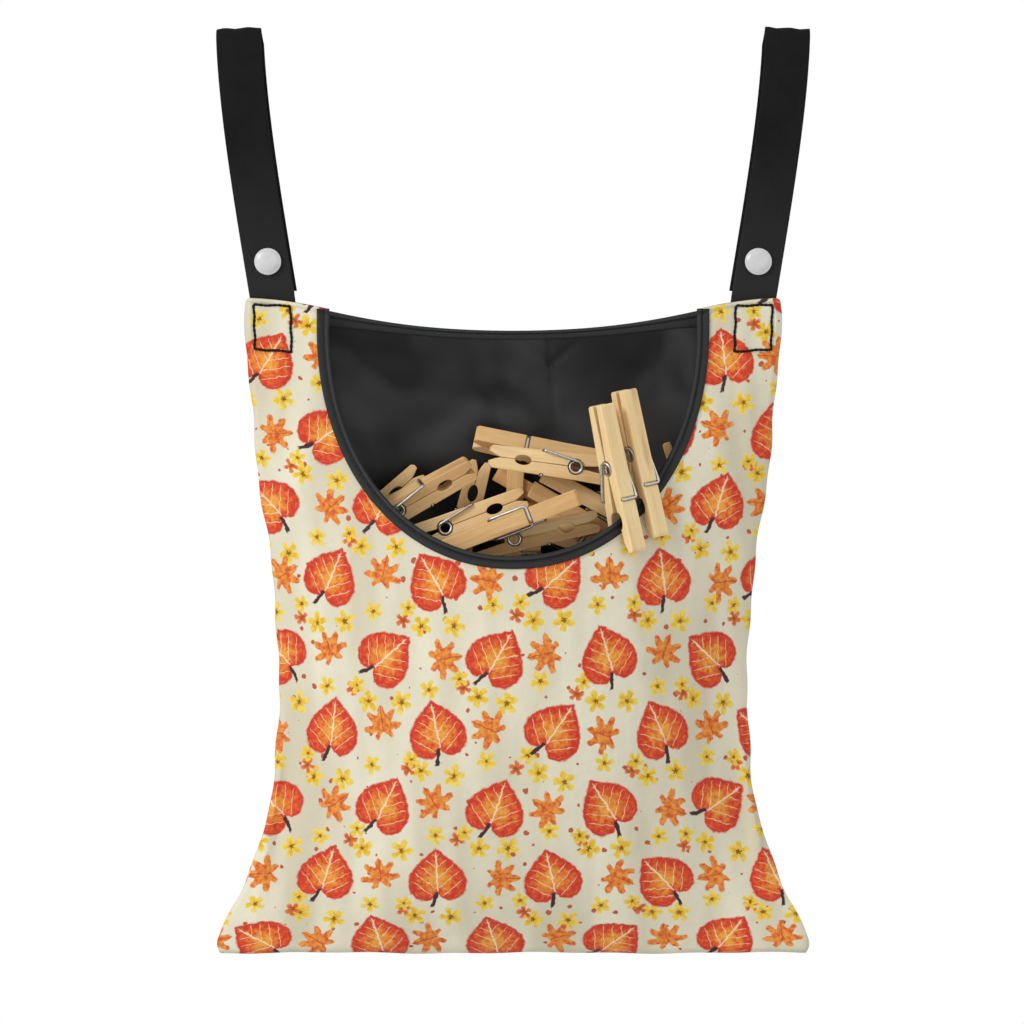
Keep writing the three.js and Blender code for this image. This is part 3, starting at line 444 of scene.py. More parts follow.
def front_layer(x, z, out, folded=1.0):
    """The front cloth's depth: the bag's plane, less how far it stands off, `out` and the folds, plus
    the twist by the clipped pegs. `out` and the folds fade to nothing at the seam."""
    off, seam = stand_off(x, z, BELLY_FRONT, FRONT_DEPTH)
    fold = folded * (fold_height(x, z, FRONT_FOLDS) * away_from_mouth(x, z) + sewn_top(x, z)) * seam
    return BAG_Y - off + clip_wave(x, z) - out * seam - fold


def back_layer(x, z, out, folded=1.0):
    """The back cloth's depth: the bag's plane plus how far it stands off, `out` and the folds, which
    start 18 mm below the top, where the tape's hold ends."""
    off, seam = stand_off(x, z, BELLY_BACK, BACK_DEPTH)
    top = np.clip((BAG_TOP - BACK_HELD - z) / BACK_EASE, 0, 1)
    return BAG_Y + off + out * seam + folded * fold_height(x, z, BACK_FOLDS) * seam * top


belly = [float(layer(np.zeros(1), np.array([-360.0]), 0.0)[0]) for layer in (front_layer, back_layer)]
print("the belly is", round(belly[1] - belly[0], 1), "mm deep")

# %% [markdown]
# ## Laying the cloth flat
# A printed pattern follows the cloth, not the air in front of it. So each point of a panel gets two
# flat measurements, in millimetres: how far it is from the middle line along the cloth, and how far
# down the cloth from the top edge. Adding up short steps of the sloping surface gives both.

# %% Flat measurements
STEPS, LEVELS = 32, 200


def flat_measure(x, z, layer):
    """Across: the length of the level line on the cloth from the middle to x, summed over 32 steps.
    Down: the length of the middle line on the cloth from the top edge to z, taken from a table."""
    t = np.linspace(0, 1, STEPS + 1).reshape((-1,) + (1,) * x.ndim)
    xs, zs = x * t, np.broadcast_to(z, (STEPS + 1,) + x.shape)
    ys = layer(xs, zs, 0.0, 0.0)
    across = np.sign(x) * np.hypot(np.diff(xs, axis=0), np.diff(ys, axis=0)).sum(0)
    heights = np.linspace(BAG_TOP, BAG_BOTTOM, LEVELS)
    middle = layer(np.zeros(LEVELS), heights, 0.0, 0.0)
    run = np.concatenate([[0], np.cumsum(np.hypot(np.diff(heights), np.diff(middle)))])
    down = np.interp(-z, -heights, run)
    return np.stack([across, -down], -1)


def sheet_piece(name, x, z, layer, out, thick, facing):
    """A panel from its places across and up: the layer gives its depth, and Solidify its thickness,
    which lies on the side away from `facing`. Its flat area is the sum over all faces of half the
    shoelace product of their corners' flat measurements."""
    points = np.stack([x, layer(x, z, out), z], -1)
    uv = flat_measure(x, z, layer).reshape(-1, 2)
    faces = grid_faces(*x.shape)
    obj = piece_from(name, points.reshape(-1, 3), faces, uv, np.array(facing, float))
    modifier(obj, "SOLIDIFY", thickness=thick * MM, offset=-1.0 if out > 0 else 1.0)
    corner, after = uv[faces], np.roll(uv[faces], -1, 1)
    twice = (corner[..., 0] * after[..., 1]).sum(1) - (after[..., 0] * corner[..., 1]).sum(1)
    size, area = np.ptp(uv, axis=0), np.abs(twice).sum() / 2
    print(name, "cut", np.round(size), "mm, area", round(area * 1e-6, 4), "m2")
    return obj, size * MM, area * 1e-6


waist = flat_measure(np.array([WAIST_HALF]), np.array([-374.0]), front_layer)
print("flat width at the waist:", round(2 * waist[0, 0], 1), "mm")

# %% [markdown]
# ## The front panel and its lining
# The front is printed polyester with a thin black lining inside it. Both are one sheet each, spread
# from the mouth to the seam. The lining stops short of the seam, as it does when both are turned and
# sewn. The stations are closest at both ends, where the strips by the mouth have a folded top edge and
# the stitches of the straps draw the cloth in.

# %% Front panel
FINE_ENDS, END_STATIONS, FRONT_STATIONS, FRONT_ROWS = 1.25, 64, 330, 72
CUT_EDGE, LINING_INSET = 0.75, 3.2
PRINT_THICK, SATIN_THICK = 0.5, 0.4
fine = np.linspace(0, FINE_ENDS, END_STATIONS)[:-1]
even = np.linspace(FINE_ENDS, STATIONS - FINE_ENDS, FRONT_STATIONS)
station = np.concatenate([fine, even, STATIONS - fine[::-1]])[:, None]
share = np.linspace(0, 1, FRONT_ROWS)[None, :]
cloth = {}


def front_places(inset, edge):
    """Places of the front from the mouth to the seam: each row is a share of the straight way. The top
    ends of the strips then rise to their curve, fading out 30 mm down."""
    mx, mz = mouth_at(station, edge)
    ox, oz = outline_at(station, inset)
    x, z = mx + (ox - mx) * share, mz + (oz - mz) * share
    rise = STRIP_FALL * strip_share(x) - strip_drop(x)
    return settle(x, z + rise * np.clip(1 - (BAG_TOP - z) / TOP_FADE, 0, 1))


def lay_cloth(side, places, layer, facing):
    """Both sheets of one side: the print out to the seam and the satin inside it, each kept with its
    flat size and area."""
    for kind, node_kind, inset, out, thick in (("print", "panel", 0.0, PRINT_FACE, PRINT_THICK),
                                               ("satin", "lining", LINING_INSET, LINING_FACE, SATIN_THICK)):
        name = f"{side}_{kind}"
        cloth[name] = sheet_piece(name, *places(inset, CUT_EDGE), layer, out, thick, facing)
        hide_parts(f"{side}_{node_kind}")


lay_cloth("front", front_places, front_layer, (0, -1, 0))

# %% [markdown]
# ## The back panel and its lining
# The back is the same cut without the mouth. Its top edge sags between the straps, so the mouth gapes
# and its lining shows. What the photograph shows through the mouth is this lining.

# %% Back panel
BACK_DROP, BACK_HOLD = 17.8, 19
BACK_COLUMNS, BACK_ROWS = 221, 150


def back_edge(across):
    """The back's top edge: a shallow arc that drops 17.8 mm in the middle, held up by the straps so
    that it stands up to 2.8 mm higher beside them."""
    return BAG_TOP - (BACK_DROP - BACK_HOLD * across**4) * (1 - across**2)


def back_places(inset, edge):
    """Places of the back: level shares of its width at heights from its top edge to the bottom."""
    across = np.linspace(-1, 1, BACK_COLUMNS)[:, None]
    top = back_edge(across) - edge
    z = top + (BAG_BOTTOM + inset - top) * np.linspace(0, 1, BACK_ROWS)[None, :]
    return settle(across * (half_width(down_at(z)) - inset), z)


lay_cloth("back", back_places, back_layer, (0, 1, 0))
front_print, front_satin, back_print, back_satin = (sheet for sheet, _, _ in cloth.values())

# %% [markdown]
# ## Bias tape round the mouth and along the back edge
# Bias tape is a strip of cloth cut on the slant, folded over a raw edge and sewn down through all the
# layers. It swells round the edge and is pulled in where the stitches hold it, so its section is a
# round bead, a groove and a flat lip. Carrying that section round the mouth makes the binding.

# %% Bias tape
TAPE_WIDTH, HEM_WIDTH, HEM_THICK = 7.0, 5.0, 0.7
HEM_REACH, HEM_INSET, HEM_SPREAD = 0.72, 2.0, 0.9
TAPE = [(7.0, 0.0), (7.0, 0.4), (6.6, 0.8), (5.9, 0.95), (4.9, 0.75), (3.7, 0.3), (3.2, 0.06),
        (2.9, 0.1), (2.5, 0.75), (1.9, 1.2), (1.2, 1.25), (0.5, 0.85), (0.1, 0.2), (0.0, -0.25)]


def tape_piece(name, station, place, layer, width, thick):
    """The section has one half outside the cloth and one inside it. Each point is a distance from the
    cut edge and a height off the layer's face; both halves are swept along the stations. The flat
    measurements are the distance from the edge and the length along it."""
    d, h = np.array(TAPE).T
    d, h = d * width / TAPE_WIDTH, h * thick
    depth = np.concatenate([d, d[::-1]])
    lift = np.concatenate([PRINT_FACE + LAYER_GAP + h, -LAYER_GAP - h[::-1] * 0.6])
    px, pz = place(station[:, None], depth[None, :])
    bx, bz = place(station[:, None], np.maximum(depth, CUT_EDGE)[None, :])
    y0, y1 = layer(bx, bz, 0.0), layer(bx, bz, 1.0)
    points = np.stack([px, y0 + (y1 - y0) * lift, pz], -1)
    rows, columns = points.shape[:2]
    run = np.concatenate([[0], np.cumsum(np.linalg.norm(np.diff(points[:, 0], axis=0), axis=1))])
    uv = np.stack(np.broadcast_arrays(depth * TAPE_WIDTH / width, run[:, None]), -1).reshape(-1, 2)
    obj = piece_from(name, points.reshape(-1, 3), grid_faces(rows, columns, round_columns=True), uv)
    print(name, "has", rows, "sections of", columns, "points and is", round(run[-1]), "mm long")
    return obj


mouth_tape = tape_piece("mouth_tape", np.linspace(0, STATIONS, 481), mouth_at, front_layer, TAPE_WIDTH, 1.0)
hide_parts("mouth_binding")


def hem_place(across, d):
    """Places along the back's top edge, between the straps. Towards each end the tape is drawn out into
    a fold of the cloth below it, nearly twice as wide."""
    z = back_edge(across) - d * (1 + HEM_SPREAD * (across / HEM_REACH) ** 4)
    return across * (half_width(down_at(z)) - HEM_INSET), z


hem_stations = np.linspace(-HEM_REACH, HEM_REACH, 161)
back_tape = tape_piece("back_tape", hem_stations, hem_place, back_layer, HEM_WIDTH, HEM_THICK)
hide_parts("back_hem")

# %% [markdown]
# ## The way of a strap
# Each strap is one length of 25 mm black webbing. It is sewn inside the top corner, runs up, folds over
# the line and comes down again behind, where a press stud closes it. It leans outwards, so it has a
# frame of its own, and in that frame its path is straight up, half round and straight down.

# %% The way of a strap
SIDES = (("left", -1), ("right", 1))
WEB_WIDTH, WEB_THICK = 25.0, 1.4
LOOP_REACH, FOOT_REACH, STRAP_DROP = 152.5, 133.8, 148.6
STRAP_LEAN = math.atan((LOOP_REACH - FOOT_REACH) / STRAP_DROP)
STRAP_TUCK, TAIL_SHORT = 27.0, 2.6
LOOP_RADIUS = 2.2
LOOP_MIDDLE = LOOP_RADIUS + WEB_THICK / 2
LEG_ROWS, TURN_ROWS = 90, 23
TOP_ROW = LEG_ROWS + TURN_ROWS // 2


def strap_frame(sign):
    """Rows of a matrix that stands a strap's own X, Y and Z in the bag's: leaning about Y."""
    c, s = math.cos(STRAP_LEAN), math.sin(STRAP_LEAN) * sign
    return np.array([[c, 0, -s], [0, 1, 0], [s, 0, c]]), np.array([sign * LOOP_REACH, 0, 0])


def strap_path():
    """Straight up, half round and straight down: each place's Y and Z, and the way out of the ribbon
    there."""
    length = STRAP_DROP / math.cos(STRAP_LEAN)
    up = np.linspace(-(length + STRAP_TUCK), -LOOP_RADIUS, LEG_ROWS)
    turn = np.linspace(math.pi, 0, TURN_ROWS + 2)[1:-1]
    down = np.linspace(-LOOP_RADIUS, -(length - TAIL_SHORT), LEG_ROWS)
    leg = np.ones(LEG_ROWS)
    y = np.concatenate([-LOOP_MIDDLE * leg, LOOP_MIDDLE * np.cos(turn), LOOP_MIDDLE * leg])
    z = np.concatenate([up, -LOOP_RADIUS + LOOP_MIDDLE * np.sin(turn), down])
    return y, z, np.concatenate([-leg, np.cos(turn), leg]), np.concatenate([0 * leg, np.sin(turn), 0 * leg])


print("a strap leans", round(math.degrees(STRAP_LEAN), 1), "degrees and has", len(strap_path()[0]), "places")

# %% [markdown]
# ## Webbing straps
# Real webbing has rounded edges, so the section is a flat rounded bar, carried along the path from the
# foot to the tail. The ribbon is made in two lengths, the strap and its tail, that meet at the top of the
# fold.

# %% Straps
FLAT_COLUMNS, EDGE_COLUMNS = 13, 7
STRAP_BOW, BOW_POWER = 2.6, 0.7
TAIL_ASIDE, ASIDE_EASE = 1.5, 0.06
FOLD_REACH, FOLD_LEVEL, FOLD_RISE, FOLD_WAVE, WAVE_TURN = 0.04, 0.65, 0.4, 0.35, 0.5


def strap_section():
    """A flat bar whose edges are half circles, 0.7 mm in radius: how far across each point is, and how
    far out of the ribbon's middle."""
    r = WEB_THICK / 2
    edge = WEB_WIDTH / 2 - r
    bend = np.linspace(-math.pi / 2, math.pi / 2, EDGE_COLUMNS)
    flat = np.linspace(-1, 1, FLAT_COLUMNS + 2)[1:-1] * edge
    face = np.full(FLAT_COLUMNS, r)
    return (np.concatenate([edge + r * np.cos(bend), flat[::-1], -edge - r * np.cos(bend), flat]),
            np.concatenate([r * np.sin(bend), face, r * np.sin(bend[::-1]), -face]))


def strap_piece(side, sign):
    """The section is carried along the path. Both legs bow outwards on one arch, the tail lies 1.5 mm
    nearer the middle, and the fold at the top is nearly level and a little wavy. The rows up to the top
    of the fold are the strap, and the rows from there on are the tail."""
    (y, z, out_y, out_z), (across, lift) = strap_path(), strap_section()
    own = np.stack([np.broadcast_to(across, (len(y), len(across))), y[:, None] + out_y[:, None] * lift,
                    z[:, None] + out_z[:, None] * lift], -1)
    run = np.concatenate([[0], np.cumsum(np.hypot(np.diff(y), np.diff(z)))])
    uv = np.stack(np.broadcast_arrays(across[None, :], run[:, None]), -1)
    drop = np.clip(-own[..., 2] / STRAP_DROP, 0, 1)
    behind = np.clip((own[..., 1] + LOOP_MIDDLE) / (2 * LOOP_MIDDLE), 0, 1) * np.clip(drop / ASIDE_EASE, 0, 1)
    own[..., 0] += sign * STRAP_BOW * np.sin(math.pi * drop**BOW_POWER) - sign * TAIL_ASIDE * behind
    near_fold = np.exp(-drop / FOLD_REACH)
    level = sign * math.tan(FOLD_LEVEL * STRAP_LEAN) * own[..., 0]
    own[..., 2] += near_fold * (level + FOLD_RISE + FOLD_WAVE * np.sin(own[..., 0] * WAVE_TURN + sign))
    matrix, origin = strap_frame(sign)
    points = own @ matrix + origin
    columns = len(across)
    k = np.arange(columns // 2 - 1)
    cap = np.stack([k, k + 1, columns - 2 - k, columns - 1 - k], -1)
    pieces = []
    for name, node_kind, part in (("webbing", "strap", slice(0, TOP_ROW + 1)),
                                  ("tail_webbing", "strap_tail", slice(TOP_ROW, None))):
        rows = len(y[part])
        faces = [grid_faces(rows, columns, round_columns=True), cap, cap[:, ::-1] + (rows - 1) * columns]
        obj = piece_from(f"{side}_{name}", points[part].reshape(-1, 3), np.concatenate(faces),
                         uv[part].reshape(-1, 2))
        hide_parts(f"{side}_{node_kind}")
        pieces.append(obj)
        print(obj.name, "is", round(run[part][-1] - run[part][0]), "mm long")
    return pieces


webbing = {side: strap_piece(side, sign) for side, sign in SIDES}

# %% [markdown]
# ## Press studs
# A press stud has four moulded pieces: a domed cap in front with a pin through the webbing, a socket
# behind it, and on the tail a stud that snaps into the socket, held by a post. Each is turned, so each
# is a profile of radius and depth spun about the stud's axis.

# %% Press studs
SNAP_DROP = 129.3
PROFILES = {
    "cap": [(0, -1.0), (1.3, -1.0), (1.3, -3.9), (6.9, -3.9), (7.35, -4.05), (7.5, -4.4), (7.5, -4.85),
            (7.3, -5.25), (6.95, -5.45), (6.6, -5.42), (6.4, -5.6), (5.7, -6.0), (4.6, -6.42),
            (3.1, -6.74), (1.5, -6.92), (0, -6.98)],
    "socket": [(1.6, -1.9), (5.6, -1.9), (5.8, -1.7), (5.8, 0.0), (5.6, 0.2), (2.8, 0.2), (2.8, -1.0),
               (1.6, -1.0), (1.6, -1.9)],
    "stud": [(1.6, 1.9), (5.0, 1.9), (5.2, 1.7), (5.2, 1.15), (5.0, 1.0), (2.5, 1.0), (2.5, 0.05),
             (2.3, -0.1), (1.6, -0.1), (1.6, 1.9)],
    "post": [(0, 0.45), (1.3, 0.45), (1.3, 3.9), (6.2, 3.9), (6.55, 4.1), (6.6, 4.5), (6.4, 4.95),
             (5.8, 5.4), (4.9, 5.65), (3.2, 5.72), (0, 5.72)],
}
SPIN = 64


def turned_piece(name, profile, sign):
    """Each profile point is a radius and a depth along Y. The radius is turned to 64 places in a circle;
    a radius of 0 gives a closed pole."""
    radius, y = np.array(profile, float).T
    angle = np.linspace(0, 2 * math.pi, SPIN, endpoint=False)
    own = np.stack([radius[:, None] * np.cos(angle), np.broadcast_to(y[:, None], (len(y), SPIN)),
                    radius[:, None] * np.sin(angle) - SNAP_DROP], -1)
    matrix, origin = strap_frame(sign)
    points = own.reshape(-1, 3) @ matrix + origin
    closed = np.allclose(profile[0], profile[-1])
    if closed:
        points = points[:-SPIN]
    faces = grid_faces(len(points) // SPIN, SPIN, round_rows=closed, round_columns=True)
    obj = piece_from(name, points, faces)
    modifier(obj, "WELD", merge_threshold=0.00001)
    return break_edges(obj, 0.12, 2, 40)


studs = []
for side, sign in SIDES:
    for kind, profile in PROFILES.items():
        obj = turned_piece(f"{side}_press_{kind}", profile, sign)
        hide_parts(f"{side}_snap_{kind}")
        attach(obj, "bag" if kind in ("cap", "socket") else f"{side}_tail")
        studs.append(obj)
print(len(studs), "press stud pieces")

# %% [markdown]
# ## Box stitches
# A square of thick black thread holds each strap into its corner. A sewing machine lays it as short
# stitches that dip into the cloth at each end, so each stitch is a small bead, longer than it is wide,
# and the row wanders a little. Here every side is sewn over twice, so the beads nearly meet.

# %% Box stitches
STITCH, THREAD = 2.6, 0.74
BEAD_ROWS, BEAD_SIDES, THREAD_WANDER = 9, 10, 0.22
BEAD_FLATNESS, BEAD_REST, BEAD_RISE = 0.72, 0.15, 0.25
INSET_ACROSS, INSET_DOWN = 0.5, 0.8
BOX_LEAN, TOP_SLOPE, FOOT_SLOPE = 0.03, 0.035, 0.07


def box_stitch(side, sign):
    """Beads go round the square at even steps. Its sides lean with the strap, its top and bottom fall
    towards the mouth with the cloth's edge. A bead is a grid of angles: along it the radius is the
    square root of one minus the fourth power of the share from its middle."""
    across, deep = np.array([[-1, 0], [1, 0], [1, 1], [-1, 1], [-1, 0]], float).T
    across, deep = across * (BOX_WIDTH / 2 - INSET_ACROSS), deep * (BOX_HEIGHT - 2 * INSET_DOWN)
    slope = np.where(deep > 0, FOOT_SLOPE, TOP_SLOPE)
    corners = np.stack([sign * BOX_MIDDLE + across + sign * BOX_LEAN * (BOX_HEIGHT / 2 - deep),
                        BAG_TOP - BOX_DROP - INSET_DOWN - deep + sign * slope * across], -1)
    length = np.hypot(*np.diff(corners, axis=0).T)
    run = np.concatenate([[0], np.cumsum(length)])
    count = int(run[-1] / STITCH)
    start = np.arange(count) * run[-1] / count
    at = start[:, None] + np.linspace(0.0, 1.0, BEAD_ROWS)[None, :] * run[-1] / count
    x = np.interp(at, run, corners[:, 0]) + THREAD_WANDER * np.sin(at * 0.55 + sign)
    z = np.interp(at, run, corners[:, 1]) + THREAD_WANDER * np.cos(at * 0.47)
    dx, dz = np.gradient(x, axis=1), np.gradient(z, axis=1)
    size = np.hypot(dx, dz)
    share = np.linspace(-1, 1, BEAD_ROWS)
    radius = THREAD * (0.6 + 0.4 * np.sqrt(1 - share**4))
    angle = np.linspace(0, 2 * math.pi, BEAD_SIDES, endpoint=False)
    across, lift = radius[:, None] * np.cos(angle), BEAD_FLATNESS * radius[:, None] * np.sin(angle)
    px = x[..., None] - (dz / size)[..., None] * across
    pz = z[..., None] + (dx / size)[..., None] * across
    y = front_layer(x, z, PRINT_FACE)[..., None] - BEAD_REST - BEAD_RISE * (1 - share**2)[:, None] - lift
    points = np.stack([px, y, pz], -1)
    one = grid_faces(BEAD_ROWS, BEAD_SIDES, round_columns=True)
    faces = (one[None] + BEAD_ROWS * BEAD_SIDES * np.arange(count)[:, None, None]).reshape(-1, 4)
    obj = piece_from(f"{side}_square_of_thread", points.reshape(-1, 3), faces)
    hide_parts(f"{side}_box_stitch")
    print(obj.name, "has", count, "stitches")
    return obj


threads = [box_stitch(side, sign) for side, sign in SIDES]

# %% [markdown]
# ## Sprung wooden pegs
# A peg is two machined wooden levers and a coiled wire spring. The levers are sawn from one moulding,
# so a lever is a flat outline with the same shape all the way through: jaws, the round hole for the
# line, the seat for the coil, and the handle cut away at a slant. The sawn edges are broken a little.

# %% A lever
HANDLE, JAW, PEG_WIDTH = 35.0, 48.0, 9.5
JAW_THICK, MID_THICK, HANDLE_THICK, HANDLE_RISE = 6.3, 7.4, 4.4, 4.4
JAW_GAP, COIL_RADIUS, WIRE, COIL_PLAY = 0.3, 3.3, 0.8, 0.4
GROOVE, GROOVE_HALF, GROOVE_SLANT, GROOVE_DEEP = 18.5, 1.3, 0.3, 0.9
# The jaw's lead-in: how far back from the tip, and how far off the inner face
LEAD_IN = [(0, 2.4), (3, 1.0), (6, 0)]
HOLE_AT, HOLE_LONG, HOLE_DEEP = 29.5, 4.7, 2.6
HANDLE_BREAK, TIP_BREAK = 1.1, 1.5


def outer_face(x):
    """The outer face falls in a straight line from the coil to each end."""
    end, length = (JAW_THICK, JAW) if x > 0 else (HANDLE_RISE + HANDLE_THICK, HANDLE)
    return MID_THICK + (end - MID_THICK) * abs(x) / length


def lever_outline():
    """The upper lever seen from the side, from the jaw tip back along the inner face and out again."""
    inner, seat = JAW_GAP / 2, COIL_RADIUS + WIRE + COIL_PLAY
    hole = np.linspace(0, math.pi, 13)
    parted = JAW_GAP + (HANDLE_RISE - JAW_GAP) * seat / HANDLE
    coil = np.linspace(math.asin(inner / seat), math.pi - math.asin(parted / seat), 15)
    low, high = GROOVE - GROOVE_HALF, GROOVE + GROOVE_HALF
    points = [(JAW - back, inner + off) for back, off in LEAD_IN]
    points += list(zip(HOLE_AT + HOLE_LONG * np.cos(hole), inner + HOLE_DEEP * np.sin(hole)))
    points += list(zip(seat * np.cos(coil), seat * np.sin(coil)))
    points += [(-HANDLE, HANDLE_RISE), (-HANDLE, outer_face(-HANDLE) - HANDLE_BREAK),
               (HANDLE_BREAK - HANDLE, outer_face(-HANDLE)), (0, MID_THICK), (low, outer_face(low)),
               (low + GROOVE_SLANT, outer_face(low) - GROOVE_DEEP),
               (high - GROOVE_SLANT, outer_face(high) - GROOVE_DEEP),
               (high, outer_face(high)), (JAW - TIP_BREAK, JAW_THICK), (JAW, JAW_THICK - TIP_BREAK)]
    return np.array(points)


def prism(outline, width):
    """The outline at both sides of the lever, joined by a band; the two flat sides are one face each."""
    n = len(outline)
    points = np.concatenate([np.insert(outline, 1, y, axis=1) for y in (-width / 2, width / 2)])
    k = np.arange(n)
    band = np.stack([k, (k + 1) % n, (k + 1) % n + n, k + n], -1)
    return points, [list(k[::-1]), list(k + n)] + band.tolist()


lever_points, lever_faces = prism(lever_outline(), PEG_WIDTH)
print("a lever's outline has", len(lever_outline()), "corners")

# %% [markdown]
# ## The peg's spring
# The spring is one piece of round wire. Three turns sit between the levers, and each end runs along
# one side of the peg and hooks over the outside of a lever in its groove. So its path is hook, bend,
# leg, coil, leg, bend, hook.


# %% A spring
BEND, COIL_TURNS = 1.5, 3
HOOK_SINK, HOOK_HALF, HOOK_OPEN, LEG_START = 1.1, 1.5, 0.6, 6.0
FINE_TURN, FINE_SIDES = 32, 12


def spring_path(half, turn_steps):
    """The coil is a helix: a circle of 3.3 mm radius whose place along the axis goes evenly from one
    side to the other. The legs leave it along its tangent and meet the hooks."""
    side = PEG_WIDTH / 2 + COIL_PLAY + WIRE
    hx, hz = GROOVE, outer_face(GROOVE) - HOOK_SINK + JAW_GAP + WIRE
    hook = np.array([hx * math.cos(half) - hz * math.sin(half), hx * math.sin(half) + hz * math.cos(half)])
    touch = math.atan2(hook[1], hook[0]) + math.acos(COIL_RADIUS / np.hypot(*hook))
    coil = COIL_RADIUS * np.array([math.cos(touch), math.sin(touch)])
    along = (coil - hook) / np.hypot(*(coil - hook))
    bend = np.linspace(0, math.pi / 2, 6)
    far = np.hypot(*(coil - hook)) * 0.75
    run = np.concatenate([[0, 0, 0], BEND * (1 - np.cos(bend)), [LEG_START, far]])
    y = np.concatenate([[HOOK_OPEN - PEG_WIDTH / 2, -HOOK_HALF, HOOK_HALF],
                        side - BEND + BEND * np.sin(bend), [side, side]])
    leg = np.stack([hook[0] + along[0] * run, y, hook[1] + along[1] * run], -1)
    turn = 2 * (math.pi - touch) + 2 * COIL_TURNS * math.pi
    steps = int(round(turn / (2 * math.pi) * turn_steps))
    share = np.linspace(0, 1, steps + 1)
    angle = touch + turn * share
    helix = np.stack([COIL_RADIUS * np.cos(angle), side * (1 - 2 * share), COIL_RADIUS * np.sin(angle)], -1)
    return np.concatenate([leg, helix, (leg * [1, -1, -1])[::-1]])


print("a closed peg's spring is a path of", len(spring_path(0.0, FINE_TURN)), "places")

# %% [markdown]
# ## A tube along a path
# Wire is round, so the spring's path needs a circle carried along it. A circle that is set by the path's
# direction alone would spin where the path turns, so each one takes its first direction from the circle
# before it.

# %% A tube
def wire_along(path, radius, sides):
    """Circles on the path, square to it. Each circle's first direction is the one before it with the
    part along the path taken away, so the tube doesn't twist."""
    along = np.gradient(path, axis=0)
    along /= np.linalg.norm(along, axis=1)[:, None]
    across = np.empty_like(path)
    before = np.array([1.0, 0.0, 0.0])
    for k, direction in enumerate(along):
        before = before - direction * (before @ direction)
        before /= np.linalg.norm(before)
        across[k] = before
    up = np.cross(along, across)
    angle = np.linspace(0, 2 * math.pi, sides, endpoint=False)[:, None]
    rings = path[:, None] + radius * (across[:, None] * np.cos(angle) + up[:, None] * np.sin(angle))
    points = np.concatenate([rings.reshape(-1, 3), rings[[0, -1]].mean(1)])
    first, last, ring = len(points) - 2, len(points) - 1, (len(path) - 1) * sides
    caps = [[first, (i + 1) % sides, i] for i in range(sides)]
    caps += [[last, ring + i, ring + (i + 1) % sides] for i in range(sides)]
    return points, grid_faces(len(path), sides, round_columns=True).tolist() + caps


tube_points, _ = wire_along(spring_path(0.0, FINE_TURN), WIRE, FINE_SIDES)
print("a spring's tube has", len(tube_points), "points")

# %% [markdown]
# ## Where the pegs lie
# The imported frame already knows. Each peg's hinge is at its coil, the hinge's axis runs across the
# peg, and the middles of its two levers show which way it opens. From these three each peg gets a
# matrix, and every lever and spring is placed by it.

# %% Peg places
PEGS = [f"peg_{k:02d}" for k in range(1, 13)]
RIM_PEGS = ("peg_01", "peg_02")
OTHER_WAY = ("peg_03", "peg_05", "peg_06")
hinges = {joint["child"]: joint for joint in frame["joints"] if joint["name"].endswith("_squeeze")}


def node_middle(node):
    """The mean of a CAD node's own points, in metres."""
    vertices = frame["nodes"][node].data.vertices
    co = np.empty(len(vertices) * 3, np.float32)
    vertices.foreach_get("co", co)
    return co.reshape(-1, 3).astype(float).mean(0)


def peg_frame(name):
    """Rows X to the jaws, Y across and Z towards lever B, and the coil's place in millimetres."""
    hinge = hinges[name + "_jaw"]
    y = -np.array(hinge["axis"], float)
    z = node_middle(name + "_lever_b") - node_middle(name + "_lever_a")
    z -= y * (z @ y)
    z /= np.linalg.norm(z)
    return np.stack([np.cross(y, z), y, z]), np.array(hinge["pos_m"], float) / MM


def tip(points, angle):
    """Turns points about the coil's axis by an angle, jaws opening upwards."""
    c, s = math.cos(angle), math.sin(angle)
    return points @ np.array([[c, 0, s], [0, 1, 0], [-s, 0, c]])


def wood_piece(name, points, faces, own, tone):
    """A wooden piece: placed points, with its own coordinates kept as an attribute for the grain and
    one number for its tone, a share between a lit and a shaded copy of the wood: painted light and shade."""
    obj = loose_piece(name, points, faces)
    grain = obj.data.attributes.new("grain", "FLOAT_VECTOR", "POINT")
    grain.data.foreach_set("vector", (own * MM).ravel())
    shade = obj.data.attributes.new("tone", "FLOAT", "POINT")
    shade.data.foreach_set("value", np.broadcast_to(tone, len(points)).astype(np.float32).copy())
    return obj


peg_frames = {name: peg_frame(name) for name in PEGS}
print("first peg's coil is at", np.round(peg_frames["peg_01"][1], 1))
